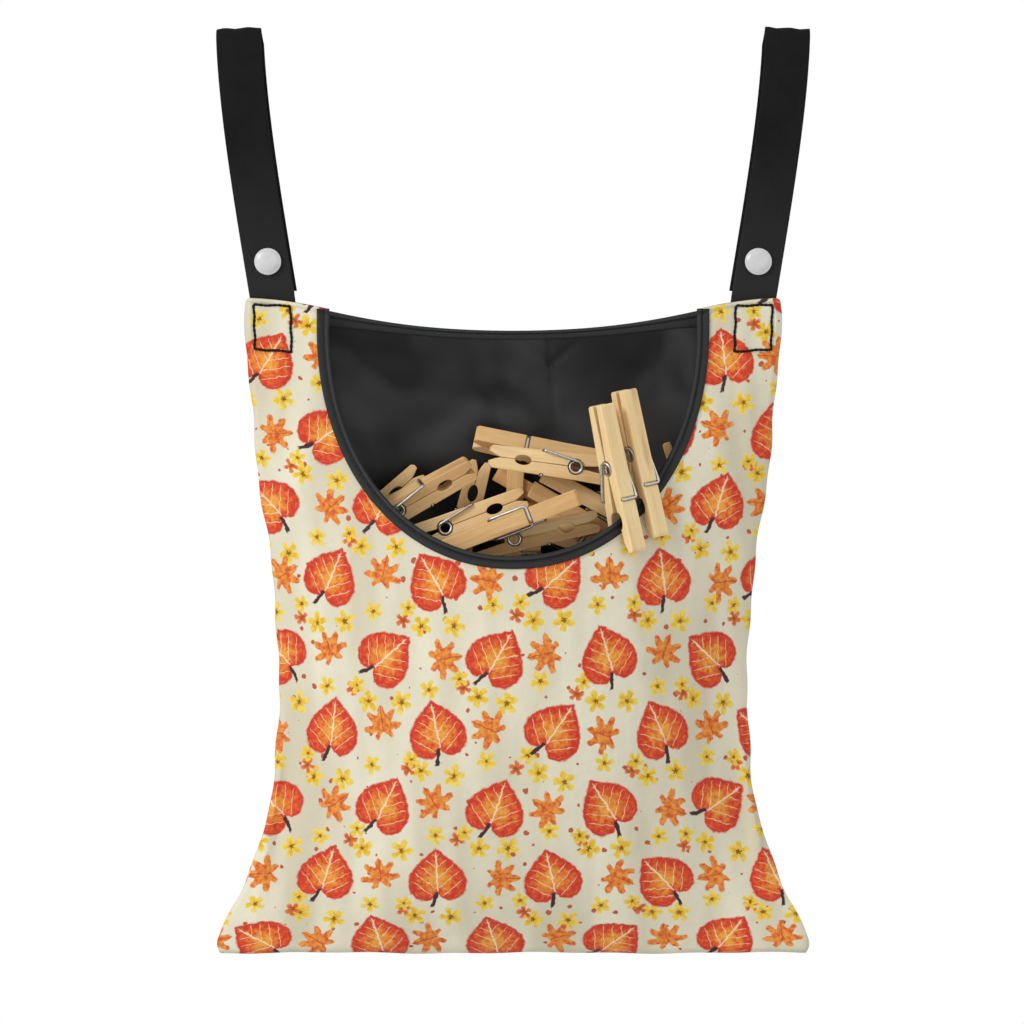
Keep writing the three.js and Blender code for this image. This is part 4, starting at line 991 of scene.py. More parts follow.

# %% [markdown]
# ## Twelve pegs, one by one
# The two pegs on the rim grip the cloth, so their jaws stand nine degrees open. The ones in the heap are
# shut. One peg could be made and shown twelve times over, but here every lever is a mesh of its own, so
# that each has its own board's grain and tone. Lever B opens with its jaw.

# %% Pegs
RIM_OPEN = math.radians(4.5)
BOARD = 400
# Tones are shares between the lit and the shaded copy of the wood, painted light and shade: the rim pegs stay
# near the lit end.
RIM_LIT_TONES, HEAP_TONES = (0, 0.15), (0.1, 1)
WIRE_BEND_START, WIRE_BEND_END = 0.5, 5.0
rng = np.random.default_rng(7)
woods, wires = [], []
for name in PEGS:
    matrix, coil = peg_frames[name]
    half = RIM_OPEN if name in RIM_PEGS else 0.0
    parent = name if name in RIM_PEGS else "bag"
    for lever, flip in (("b", 1), ("a", -1)):
        own = lever_points * [1, flip, flip]
        placed = tip(own, half * flip) @ matrix + coil
        obj = wood_piece(f"{name}_wood_{lever}", placed, lever_faces, own + rng.uniform(-BOARD, BOARD, 3),
                         rng.uniform(*(RIM_LIT_TONES if name in RIM_PEGS else HEAP_TONES)))
        break_edges(obj, 0.4, 2, 30)
        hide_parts(f"{name}_lever_{lever}")
        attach(obj, name + "_jaw" if lever == "b" else parent)
        woods.append(obj)
    points, faces = wire_along(spring_path(half, FINE_TURN), WIRE, FINE_SIDES)
    points = points * [1, -1 if name in OTHER_WAY else 1, 1]
    obj = loose_piece(f"{name}_wire", points @ matrix + coil, faces)
    obj.data.shade_smooth()
    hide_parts(f"{name}_spring")
    start, end = ((coil + matrix[2] * up) * MM for up in (WIRE_BEND_START, WIRE_BEND_END))
    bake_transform(obj)
    wires.append(obj)
print(len(woods), "levers and", len(wires), "springs")

# %% [markdown]
# ## The pegs lower in the bag
# The photograph shows only the top of the heap. Below it the CAD has layers of leaning bars, each the
# size of a closed peg, and a few more in the gaps between the pegs that show. The same rule gives the
# same places here, so that each bar can become a whole peg.

# %% Places in the heap
PEG_LENGTH = HANDLE + JAW
PILE_BASE = CURVE_TOP - MOUTH_DEPTH
PILE_FRONT = float(BAG_Y - BELLY_FRONT * curve_at(FRONT_DEPTH, down_at(np.array(PILE_BASE))))
LAYER_PITCH = PEG_WIDTH + COIL_PLAY + 2 * WIRE + LAYER_GAP
HEAP_LAYERS, HEAP_ROWS, HEAP_COLUMNS = 4, 6, 3
HEAP_LEAN, ROW_DROP, FIRST_LAYER, FIRST_ROW = 24, 18, 11, 50
# Bars in the gaps: shares of a peg's length across and up, layers back, lean in degrees
FILL = [(0, 0.08, 4.75, 88), (0.13, -0.13, 4.75, 90), (0.38, 0.1, 4.65, -20), (0.6, 0.05, 4.1, -35),
        (0.36, -0.1, 3.2, 20), (0.3, -0.15, 4.3, -10), (0.32, 0.31, 4.75, -30), (0.55, 0.2, 4, -30)]


def bar_places():
    """Middles and leans of the bars: four layers that lean 24 degrees one way and then the other, six
    rows 18 mm apart, every second row shifted by half, where the whole bar lies inside the lining."""
    places = []
    corner = np.array([[i, j, k] for i in (-1, 1) for j in (-1, 1) for k in (-1, 1)])
    along, thick, wide = (corner * [PEG_LENGTH / 2, MID_THICK, PEG_WIDTH / 2]).T
    for layer in range(HEAP_LAYERS):
        lean = math.radians(HEAP_LEAN if layer % 2 else -HEAP_LEAN)
        c, s = math.cos(lean), math.sin(lean)
        y = PILE_FRONT + FIRST_LAYER + layer * (2 * MID_THICK - 0.5)
        for row in range(HEAP_ROWS):
            for column in range(HEAP_COLUMNS):
                x = (column - 1 + (0.5 if row % 2 else 0)) * (PEG_LENGTH + PEG_WIDTH)
                z = PILE_BASE - FIRST_ROW - row * ROW_DROP
                px, py, pz = x + along * c + wide * s, y + thick, z - along * s + wide * c
                behind_front = py > front_layer(px, pz, 0.0, 0.0) + 1
                before_back = py < back_layer(px, pz, 0.0, 0.0) - 1
                if (behind_front & before_back).all():
                    places.append((x, y, z, lean))
    for across, up, layer, tilt in FILL:
        places.append((across * PEG_LENGTH, PILE_FRONT + layer * LAYER_PITCH,
                       PILE_BASE + up * PEG_LENGTH, -math.radians(tilt)))
    return places


print("the heap has", len(bar_places()), "places for pegs")

# %% [markdown]
# ## The heap
# Each place gets two levers and a spring. These pegs never open and little of them shows, so all their
# levers are one mesh and all their springs another, with fewer steps along and round the wire.

# %% The heap
THIN_TURN, THIN_SIDES = 14, 7


def joined(parts):
    """Many pairs of points and faces as one pair, each one's faces counted on from the last point."""
    points, faces, count = [], [], 0
    for own_points, own_faces in parts:
        points.append(own_points)
        faces += [[corner + count for corner in face] for face in own_faces]
        count += len(own_points)
    return np.concatenate(points), faces


def heap_pieces():
    """Every bar's peg: its own X lies along the bar and its Z goes back into the bag."""
    wood, grain, tone, steel = [], [], [], []
    thin_points, thin_faces = wire_along(spring_path(0.0, THIN_TURN), WIRE, THIN_SIDES)
    for k, (x, y, z, lean) in enumerate(bar_places()):
        along = np.array([math.cos(lean), 0, -math.sin(lean)]) * (1 if k % 3 else -1)
        matrix = np.stack([along, np.cross([0, 1, 0], along), [0, 1, 0]])
        coil = np.array([x, y, z]) - along * (JAW - HANDLE) / 2
        for flip in (1, -1):
            own = lever_points * [1, flip, flip]
            wood.append((own @ matrix + coil, lever_faces))
            grain.append(own + rng.uniform(-BOARD, BOARD, 3))
            tone.append(np.full(len(own), rng.uniform(0, 1)))
        steel.append((thin_points @ matrix + coil, thin_faces))
    heap = wood_piece("heap_wood", *joined(wood), np.concatenate(grain), np.concatenate(tone))
    break_edges(heap, 0.4, 1, 30)
    springs = loose_piece("heap_wires", *joined(steel))
    springs.data.shade_smooth()
    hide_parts("pegs_below")
    print("heap of", len(steel), "pegs")
    return heap, springs


heap, heap_wires = heap_pieces()

# %% [markdown]
# ## Which body each piece goes with
# The cloth, the tapes, the straps and the heap stay with the bag. A tail's webbing is left where it
# lies, with its place baked into its points.

# %% Riding
BEND_START, BEND_END = (0, 0.4, -0.9), (0, 3.0, -6.4)
for obj in (front_print, front_satin, back_print, back_satin, mouth_tape, back_tape, heap, heap_wires,
            *threads):
    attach(obj, "bag")
for side, sign in SIDES:
    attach(webbing[side][0], "bag")
    matrix, origin = strap_frame(sign)
    start, end = (np.array(place) @ matrix + origin for place in (BEND_START, BEND_END))
    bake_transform(webbing[side][1])
print(len(webbing), "tails bend between the bag and their own body")

# %% [markdown]
# ## Colours and nodes
# Colours are written as they look on a screen and turned to linear light by one function. Another
# function adds a shader node with its settings and what feeds it.


# %% Colours and nodes
def colour(code):
    """A hex sRGB colour as linear red, green, blue and 1: each share s becomes ((s + 0.055) / 1.055)
    to the power 2.4, or s / 12.92 where it is dark."""
    shares = np.array([int(code[k:k + 2], 16) / 255 for k in (1, 3, 5)])
    linear = np.where(shares <= 0.04045, shares / 12.92, ((shares + 0.055) / 1.055) ** 2.4)
    return (*linear.tolist(), 1.0)


def node(tree, kind, *feeds, **named):
    """Adds a node. What comes first feeds its sockets in their order. A name that starts with a capital
    is a socket, with underscores for spaces, and any other name is one of the node's own settings. A
    socket takes a plain value, or the node or socket that feeds it."""
    added = tree.nodes.new("ShaderNode" + kind)
    sockets = dict(enumerate(feeds))
    for name, value in named.items():
        if name[0].isupper():
            sockets[name.replace("_", " ")] = value
        else:
            setattr(added, name, value)
    for key, value in sockets.items():
        value = value.outputs[0] if isinstance(value, bpy.types.Node) else value
        if isinstance(value, bpy.types.NodeSocket):
            tree.links.new(value, added.inputs[key])
        else:
            added.inputs[key].default_value = value
    return added


print("cream is", [round(c, 3) for c in colour("#e8e2cc")])

# %% [markdown]
# ## Starting and ending a finish
# A finish starts as a new material, whose patterns need a place: on the flat cloth, or in the solid,
# both in millimetres, so that each pattern's size can be read off as a real one. It ends when its last
# nodes are joined to the shader and its pieces wear it.


# %% Starting and ending a finish
def new_material(name, **sockets):
    """A material whose shader's own sockets hold what is the same all over."""
    material = bpy.data.materials.new(name)
    material.use_nodes = True
    shader = material.node_tree.nodes["Principled BSDF"]
    for key, value in sockets.items():
        shader.inputs[key.replace("_", " ")].default_value = value
    return material, material.node_tree, shader


def cloth_place(tree):
    """The place on the flat cloth, in millimetres."""
    return node(tree, "VectorMath", node(tree, "UVMap", uv_map="cut"), Scale=1 / MM, operation="SCALE")


def solid_place(tree):
    """The place in the solid, in millimetres."""
    inside = node(tree, "TexCoord").outputs["Object"]
    return node(tree, "VectorMath", inside, Scale=1 / MM, operation="SCALE")


def feed(shader, **sources):
    """Joins nodes to the shader's sockets, which are named with underscores for spaces."""
    for key, source in sources.items():
        shader.id_data.links.new(source.outputs[0], shader.inputs[key.replace("_", " ")])


def wear(material, *objs):
    """Gives the finish to its pieces."""
    for obj in objs:
        obj.data.materials.append(material)
    print(material.name, "is on", len(objs), "pieces")


print("a pattern's place is in units of", MM, "m")

# %% [markdown]
# ## Cells of a printed pattern
# A printed cloth repeats its motifs on a lattice. In nodes, dividing the place on the cloth by the
# lattice's spacing and taking the whole part gives each motif a cell of its own, and a random number
# for that cell moves and turns the motif a little. What is left over is the place inside the cell.
# Every second row is shifted by half a cell, so the motifs don't stand in columns.


# %% Pattern cells
def motif_cell(tree, place, pitch, shift, wander, swing, seed):
    """Place inside the cell, in millimetres from the motif's middle and turned by up to `swing`
    either way, with the cell's random number."""
    scaled = node(tree, "VectorMath", place, (*shift, 0), operation="ADD")
    scaled = node(tree, "VectorMath", scaled, (*pitch, 1), operation="DIVIDE")
    parts = node(tree, "SeparateXYZ", scaled)
    row = node(tree, "Math", parts.outputs["Y"], operation="FLOOR")
    odd = node(tree, "Math", row, 2.0, operation="FLOORED_MODULO")
    x = node(tree, "Math", odd, 0.5, parts.outputs["X"], operation="MULTIPLY_ADD")
    column = node(tree, "Math", x, operation="FLOOR")
    cell = node(tree, "CombineXYZ", column, row, float(seed))
    chance = node(tree, "TexWhiteNoise", Vector=cell, noise_dimensions="3D")
    whole = node(tree, "CombineXYZ", x, parts.outputs["Y"])
    corner = node(tree, "CombineXYZ", column, row)
    inside = node(tree, "VectorMath", whole, corner, operation="SUBTRACT")
    inside = node(tree, "VectorMath", inside, (0.5, 0.5, 0), operation="SUBTRACT")
    inside = node(tree, "VectorMath", inside, (*pitch, 0), operation="MULTIPLY")
    nudge = node(tree, "VectorMath", chance.outputs["Color"], (0.5, 0.5, 0.5), operation="SUBTRACT")
    nudge = node(tree, "VectorMath", nudge, (wander, wander, 0), operation="MULTIPLY")
    inside = node(tree, "VectorMath", inside, nudge, operation="SUBTRACT")
    angle = node(tree, "Math", chance.outputs["Value"], 0.5, operation="SUBTRACT")
    angle = node(tree, "Math", angle, 2 * math.radians(swing), operation="MULTIPLY")
    return node(tree, "VectorRotate", Vector=inside, Angle=angle, rotation_type="Z_AXIS"), chance


print("pattern cells ready")

# %% [markdown]
# ## Drawn outlines and lines
# A painted motif is a filled outline with a few lines on it. The outline is kept as a curve: how far it
# reaches in each direction from its middle. A place inside that reach gets ink. A line is kept as the
# distance from its middle. Both end over a fraction of a millimetre, as ink does on cloth.

# %% Outlines and lines
def silhouette(tree, inside, radii, size, soft):
    """A motif's outline, the same left and right: its radius in each direction from its tip round to
    its stem is read off a curve. Gives ink, 1 inside and 0 outside, the share of the way out, and the
    place across and up."""
    parts = node(tree, "SeparateXYZ", inside)
    turn = node(tree, "Math", parts.outputs["X"], parts.outputs["Y"], operation="ARCTAN2")
    turn = node(tree, "Math", turn, operation="ABSOLUTE")
    turn = node(tree, "Math", turn, math.pi, operation="DIVIDE")
    curve = node(tree, "FloatCurve", Value=turn)
    points = curve.mapping.curves[0].points
    for k, (at, radius) in enumerate(radii):
        point = points[k] if k < 2 else points.new(at, radius)
        point.location = (at, radius)
    curve.mapping.update()
    reach = node(tree, "Math", curve, size, operation="MULTIPLY")
    radius = node(tree, "VectorMath", inside, operation="LENGTH")
    share = node(tree, "Math", radius.outputs["Value"], reach, operation="DIVIDE")
    left = node(tree, "Math", reach, radius.outputs["Value"], operation="SUBTRACT")
    ink = node(tree, "Math", left, soft, 0.5, operation="MULTIPLY_ADD", use_clamp=True)
    return ink, share, parts


def stroke(tree, off, half, soft=0.25):
    """A drawn line: 1 where `off`, the distance from its middle, is under half its width."""
    off = node(tree, "Math", off, operation="ABSOLUTE")
    return node(tree, "MapRange", Value=off, From_Min=half + soft, From_Max=half - soft).outputs[0]


print("outlines and lines ready")

# %% [markdown]
# ## Printed polyester
# The bag is woven polyester with a heat-transferred print on cream. The design here is a general one of
# autumn leaves and small flowers: broad red-orange leaves with amber middles and cream veins, small
# lobed orange leaves, yellow five-petalled flowers and rust dots. The ink sits in the threads, so it is
# mottled and its edges are soft. The weave is about 0.3 mm a thread, too fine for the picture, so it is
# drawn at 0.9 mm.

# %% The printed ground
printed, tree, shader = new_material("printed polyester plain weave", Roughness=0.82, Sheen_Weight=0.08,
                                     Specular_IOR_Level=0.3)
place = cloth_place(tree)
bleed = node(tree, "TexNoise", Vector=place, Scale=0.3, Detail=2.0, noise_dimensions="2D")
bleed = node(tree, "VectorMath", bleed.outputs["Color"], (0.5, 0.5, 0.5), operation="SUBTRACT")
bleed = node(tree, "VectorMath", bleed, Scale=2.0, operation="SCALE")
drawn = node(tree, "VectorMath", place, bleed, operation="ADD")
blot = node(tree, "TexNoise", Vector=place, Scale=0.32, Detail=5.0, Roughness=0.65, noise_dimensions="2D")
# Soft upright bands of painted shade run over the cream, tens of millimetres wide.
upright = node(tree, "VectorMath", place, (0.03, 0.006, 0), operation="MULTIPLY")
painted_shade_bands = node(tree, "TexNoise", Vector=upright, Scale=1.0, Detail=2.0, noise_dimensions="2D")
painted_shade_bands = node(tree, "MapRange", Value=painted_shade_bands, From_Min=0.35, From_Max=0.65)
ink = node(tree, "MixRGB", painted_shade_bands, colour("#e7e1ca"), colour("#d3cbb2"))
print("ground laid")

# %% [markdown]
# ## Rust dots
# Loose dots of rust-coloured ink fill the ground between the motifs. They could be scattered as small
# discs, but ink has no thickness. So a dot is drawn where a place is nearer to its cell's middle than
# that cell's own radius, and a radius below nothing leaves the cell empty.

# %% Rust dots
inside, chance = motif_cell(tree, drawn, (12.5, 12.5), (3.0, 5.0), 8.0, 0, 3)
radius = node(tree, "VectorMath", inside, operation="LENGTH").outputs["Value"]
size = node(tree, "MapRange", Value=chance.outputs["Value"], From_Min=0.35, To_Min=-0.2, To_Max=1.6)
left = node(tree, "Math", size, radius, operation="SUBTRACT")
dot = node(tree, "Math", left, 3.0, 0.5, operation="MULTIPLY_ADD", use_clamp=True)
ink = node(tree, "MixRGB", dot, ink, colour("#bc5a3c"))
print("rust dots printed")

# %% [markdown]
# ## Yellow flowers
# Small painted flowers stand round each broad leaf. A flower is a curve of radius by direction, with
# five long petals and a dip between each two. Its wash is deeper towards the middle, where a brown eye
# sits. A loop over the kinds of flower lays each one over the ink before it.

# %% Yellow flowers
REPEAT = (64.0, 42.0)
INK_EDGE = 0.9
FIRST_LEAF = (10.0, 14.0)
# Each outline: a share of the half turn from tip to stem, and a share of the size; the ends come first
PETALS = [(0, 1), (1, 0.5), (0.1, 0.9), (0.2, 0.45), (0.3, 0.88), (0.4, 1), (0.5, 0.9), (0.6, 0.45),
          (0.7, 0.88), (0.8, 1), (0.9, 0.9)]
# Each kind of flower: where it stands from a broad leaf, its size, and its inks
FLOWERS = [((22, 18), 6.2, "#d9a521", "#efd04e"), ((-4, 26), 5.6, "#dfae2c", "#f0d55c"),
           ((41, 17), 6.6, "#d9a521", "#f0d55c"), ((14, 22), 4.4, "#bb4a2a", "#e07a3c"),
           ((47, -15), 5.0, "#dfae2c", "#efd04e")]
for seed, (stand, size, deep, light) in enumerate(FLOWERS):
    shift = (FIRST_LEAF[0] - stand[0], FIRST_LEAF[1] - stand[1])
    inside, _ = motif_cell(tree, drawn, REPEAT, shift, 6.0, 180, 11 + seed)
    petal, share, _ = silhouette(tree, inside, PETALS, size, INK_EDGE)
    wash = node(tree, "Math", blot, 0.5, operation="SUBTRACT")
    wash = node(tree, "Math", wash, 2.6, share, operation="MULTIPLY_ADD", use_clamp=True)
    flower = node(tree, "MixRGB", wash, colour(deep), colour(light))
    eye = node(tree, "MapRange", Value=share, From_Min=0.3, From_Max=0.18)
    flower = node(tree, "MixRGB", eye, flower, colour("#8a5a1c"))
    ink = node(tree, "MixRGB", petal, ink, flower)
print(len(FLOWERS), "kinds of flower printed")

# %% [markdown]
# ## Small lobed leaves
# Between two broad leaves stands a smaller one with deep round lobes. Its outline is the same kind of
# curve as a petal's, and a blotted wash of two oranges fills it, as wet paint does on paper.

# %% Small lobed leaves
LOBES = [(0, 1), (1, 0.2), (0.06, 0.82), (0.12, 0.6), (0.17, 0.74), (0.23, 0.96), (0.3, 0.72),
         (0.37, 0.5), (0.44, 0.74), (0.5, 0.9), (0.57, 0.66), (0.65, 0.42), (0.73, 0.6), (0.8, 0.62),
         (0.88, 0.36)]
inside, _ = motif_cell(tree, drawn, REPEAT, (FIRST_LEAF[0] - 32, FIRST_LEAF[1]), 5.0, 120, 21)
leaf, _, parts = silhouette(tree, inside, LOBES, 12.5, INK_EDGE)
wash = node(tree, "Math", blot, 0.46, operation="SUBTRACT")
wash = node(tree, "Math", wash, 4.0, 0.4, operation="MULTIPLY_ADD", use_clamp=True)
blade = node(tree, "MixRGB", wash, colour("#d2542a"), colour("#eb9d42"))
rib = stroke(tree, parts.outputs["X"], 0.25)
blade = node(tree, "MixRGB", rib, blade, colour("#b8441f"))
ink = node(tree, "MixRGB", leaf, ink, blade)
print("lobed leaves printed")

# %% [markdown]
# ## Broad leaves
# The main motif is a broad round leaf: an amber middle that reddens towards the edge, cream veins that
# leave the middle one at a slant, and a dark stem. The colour comes from a ramp over the share of the
# way out, shaken by the blot pattern. The veins are parallel lines folded about the middle one.

# %% Broad leaves
BROAD_SIZE = 18.5
BROAD = [(0, 1), (1, 0.5), (0.05, 0.9), (0.14, 0.79), (0.28, 0.76), (0.42, 0.82), (0.56, 0.9), (0.7, 0.93),
         (0.83, 0.86), (0.93, 0.68)]
# The leaf's inks from the middle to the edge, the ends first
REDDENING = ((0.12, "#eba343"), (1.0, "#c93620"), (0.45, "#e0792c"), (0.72, "#d8492a"))
inside, _ = motif_cell(tree, drawn, REPEAT, FIRST_LEAF, 3.5, 60, 31)
leaf, share, parts = silhouette(tree, inside, BROAD, BROAD_SIZE, INK_EDGE)
bow = node(tree, "Math", parts.outputs["Y"], parts.outputs["Y"], operation="MULTIPLY")
bow = node(tree, "Math", bow, 0.012, parts.outputs["X"], operation="MULTIPLY_ADD")
below = node(tree, "MapRange", Value=parts.outputs["Y"], From_Min=-8.0, From_Max=-9.0)
end = node(tree, "MapRange", Value=parts.outputs["Y"], From_Min=-BROAD_SIZE, From_Max=1 - BROAD_SIZE)
stem = node(tree, "Math", below, end, operation="MULTIPLY")
stem = node(tree, "Math", stem, stroke(tree, bow, 1.1), operation="MULTIPLY")
wash = node(tree, "Math", blot, 0.5, operation="SUBTRACT")
wash = node(tree, "Math", wash, 1.6, share, operation="MULTIPLY_ADD")
ramp = node(tree, "ValToRGB", wash)
for k, (at, code) in enumerate(REDDENING):
    stop = ramp.color_ramp.elements[k] if k < 2 else ramp.color_ramp.elements.new(at)
    stop.position, stop.color = at, colour(code)
side = node(tree, "Math", parts.outputs["X"], operation="ABSOLUTE")
slant = node(tree, "Math", side, -0.85, parts.outputs["Y"], operation="MULTIPLY_ADD")
slant = node(tree, "Math", slant, 3.3, operation="PINGPONG")
veins = stroke(tree, slant, 0.2, 0.22)
middle_vein = stroke(tree, parts.outputs["X"], 0.45)
veins = node(tree, "Math", veins, middle_vein, operation="MAXIMUM")
inner = node(tree, "MapRange", Value=share, From_Min=0.92, From_Max=0.78)
veins = node(tree, "Math", veins, inner, operation="MULTIPLY")
faded = node(tree, "Math", veins, 0.8, operation="MULTIPLY")
blade = node(tree, "MixRGB", faded, ramp, colour("#f6e7c8"))
ink = node(tree, "MixRGB", leaf, ink, blade)
ink = node(tree, "MixRGB", stem, ink, colour("#41262a"))
print("broad leaves printed")

# %% [markdown]
# ## The weave under the ink
# Plain weave is a chequer of warp and weft. The product of two sine waves gives it: it darkens every
# crossing a little and lifts the surface by a hair. A slow crinkle, twenty millimetres wide, keeps the
# cloth from looking ironed.

# %% Weave of the print
WEAVE = 0.9
parts = node(tree, "SeparateXYZ", place)
warp = node(tree, "Math", parts.outputs["X"], 2 * math.pi / WEAVE, operation="MULTIPLY")
weft = node(tree, "Math", parts.outputs["Y"], 2 * math.pi / WEAVE, operation="MULTIPLY")
warp, weft = (node(tree, "Math", angle, operation="SINE") for angle in (warp, weft))
weave = node(tree, "Math", warp, weft, operation="MULTIPLY")
shadow = node(tree, "MapRange", Value=weave, From_Min=-1.0, To_Min=0.975, To_Max=1.0)
ink = node(tree, "VectorMath", ink, Scale=shadow, operation="SCALE")
crinkle = node(tree, "TexNoise", Vector=place, Scale=0.05, Detail=4.0, noise_dimensions="2D")
low = node(tree, "Bump", Height=crinkle, Strength=0.35, Distance=0.004)
high = node(tree, "Bump", Height=weave, Strength=0.12, Distance=0.0002, Normal=low)
feed(shader, Base_Color=ink, Normal=high)
wear(printed, front_print, back_print)

# %% [markdown]
# ## Satin lining
# The lining is a black satin-faced polyester. Satin shows wide soft patches of shine where the cloth
# dips and rises, so its roughness drifts over tens of millimetres, and the same patches are painted
# into its black as lighter and darker sheen.

# %% Satin lining
satin, tree, shader = new_material("black polyester satin", Specular_IOR_Level=0.22)
place = cloth_place(tree)
painted_sheen_patches = node(tree, "TexNoise", Vector=place, Scale=0.018, Detail=1.5, Distortion=0.3, noise_dimensions="2D")
painted_sheen_patches = node(tree, "MapRange", Value=painted_sheen_patches, From_Min=0.38, From_Max=0.62)
rough = node(tree, "MapRange", Value=painted_sheen_patches, To_Min=0.38, To_Max=0.52)
# Painted sheen: the black is lighter where the patches are shinier and darker elsewhere.
black = node(tree, "MixRGB", painted_sheen_patches, colour("#353536"), colour("#070708"))
crinkle = node(tree, "TexNoise", Vector=place, Scale=0.03, Detail=1.0, noise_dimensions="2D")
low = node(tree, "Bump", Height=crinkle, Strength=0.4, Distance=0.006)
thread = node(tree, "TexWave", Vector=place, Scale=0.7, Distortion=1.0, bands_direction="X")
high = node(tree, "Bump", Height=thread, Strength=0.05, Distance=0.0002, Normal=low)
feed(shader, Base_Color=black, Roughness=rough, Normal=high)
wear(satin, front_satin, back_satin)

# %% [markdown]
# ## Bias tape
# The tape is the same kind of black cloth, matt, cut at 45 degrees, so its threads run slantwise. Its
# folded edge gets a thin painted highlight, and the row of stitches in its groove is drawn in as a
# darker line that dips at every stitch, with the groove's shade painted into it.

# %% Bias tape
bias, tree, shader = new_material("black polyester bias tape", Roughness=0.6, Specular_IOR_Level=0.3)
STITCH_PITCH = 2.4
place = solid_place(tree)
mottle = node(tree, "TexNoise", Vector=place, Scale=0.25, Detail=4.0)
black = node(tree, "MixRGB", mottle, colour("#0e0f10"), colour("#232426"))
slant = node(tree, "Mapping", Vector=place, Rotation=(0, math.radians(45), 0))
thread = node(tree, "TexWave", Vector=slant, Scale=0.35, Distortion=0.6)
both = node(tree, "Math", mottle, 0.7, thread.outputs["Fac"], operation="MULTIPLY_ADD")
parts = node(tree, "SeparateXYZ", cloth_place(tree))
off_groove = node(tree, "Math", parts.outputs["X"], 3.1, operation="SUBTRACT")
off_fold = node(tree, "Math", parts.outputs["X"], 1.5, operation="SUBTRACT")
groove, fold = stroke(tree, off_groove, 0.45, 0.4), stroke(tree, off_fold, 0.3, 0.5)
along = node(tree, "Math", parts.outputs["Y"], 2 * math.pi / STITCH_PITCH, operation="MULTIPLY")
along = node(tree, "Math", along, operation="SINE")
dips = node(tree, "MapRange", Value=along, From_Min=-1.0, To_Min=0.55)
# The stitch row in the groove, darkened as painted shade of the groove.
stitches_and_groove_shade = node(tree, "Math", groove, dips, operation="MULTIPLY")
# Painted highlight: a thin lighter line along the tape's folded edge.
painted_fold_highlight = node(tree, "Math", fold, 0.5, operation="MULTIPLY")
black = node(tree, "MixRGB", painted_fold_highlight, black, colour("#3c3d3f"))
black = node(tree, "MixRGB", stitches_and_groove_shade, black, colour("#020202"))
both = node(tree, "Math", stitches_and_groove_shade, -1.2, both, operation="MULTIPLY_ADD")
bump = node(tree, "Bump", Height=both, Strength=0.25, Distance=0.0004)
feed(shader, Base_Color=black, Normal=bump)
wear(bias, mouth_tape, back_tape)

# %% [markdown]
# ## Twill webbing
# Polyester webbing is woven in a steep twill: fine ribs run almost along it, a little aslant, about
# 1.2 mm apart, drawn at 1.9 mm. Towards the foot the black turns a little grey.

# %% Twill webbing
twill, tree, shader = new_material("black polyester twill webbing", Roughness=0.75, Specular_IOR_Level=0.12)
place = cloth_place(tree)
slant = node(tree, "Mapping", Vector=place, Rotation=(0, 0, math.radians(-9)))
rib = node(tree, "TexWave", Vector=slant, Scale=0.26, Distortion=0.4, Detail=1.0, bands_direction="X")
patch = node(tree, "TexNoise", Vector=place, Scale=0.06, Detail=3.0, noise_dimensions="2D")
mixed = node(tree, "Math", rib.outputs["Fac"], 0.35, patch, operation="MULTIPLY_ADD")
black = node(tree, "MixRGB", mixed, colour("#030303"), colour("#151515"))
run = node(tree, "SeparateXYZ", place).outputs["Y"]
# The black turns lighter grey towards the foot of the strap.
greyer_towards_foot = node(tree, "MapRange", Value=run, From_Min=115.0, From_Max=35.0, To_Max=0.8)
black = node(tree, "MixRGB", greyer_towards_foot, black, colour("#2b2b2c"))
bump = node(tree, "Bump", Height=rib.outputs["Fac"], Strength=0.3, Distance=0.0003)
feed(shader, Base_Color=black, Normal=bump)
wear(twill, *webbing["left"], *webbing["right"])

# %% [markdown]
# ## Thread
# Sewing thread is spun polyester: matt black, with a slight twist.

# %% Thread
spun, tree, shader = new_material("spun polyester thread", Roughness=0.7, Specular_IOR_Level=0.15)
fuzz = node(tree, "TexNoise", Vector=solid_place(tree), Scale=1.8, Detail=2.0)
black = node(tree, "MixRGB", fuzz, colour("#080808"), colour("#181818"))
bump = node(tree, "Bump", Height=fuzz, Strength=0.4, Distance=0.0002)
feed(shader, Base_Color=black, Normal=bump)
wear(spun, *threads)

# %% [markdown]
# ## Moulded resin
# The studs are moulded in a white resin with a pearly look: smooth, a little cloudy, with a soft
# highlight rather than a sharp one.

# %% Moulded resin
pearl, tree, shader = new_material("moulded acetal resin", Roughness=0.3, Coat_Weight=0.15,
                                   Coat_Roughness=0.2)
cloud = node(tree, "TexNoise", Vector=solid_place(tree), Scale=0.26, Detail=3.0)
white = node(tree, "MixRGB", cloud, colour("#c2c2c4"), colour("#d8d8d9"))
feed(shader, Base_Color=white)
wear(pearl, *studs)

# %% [markdown]
# ## Sawn birch
# Pegs are sawn from birch or beech and left bare. The grain runs along the lever: pale early wood with
# darker streaks about a millimetre apart, a fine pore texture, and here and there a brown stain. Every
# lever comes from a different board, so each has its own tone. The tone is a share between a lit and a
# shaded copy of the wood's colours, painted light and shade, and the two pegs on the rim get the lit end.

# %% Sawn birch
birch, tree, shader = new_material("sawn birch", Roughness=0.6, Specular_IOR_Level=0.35)
own = node(tree, "Attribute", attribute_name="grain").outputs["Vector"]
tone_and_painted_light = node(tree, "Attribute", attribute_name="tone").outputs["Fac"]
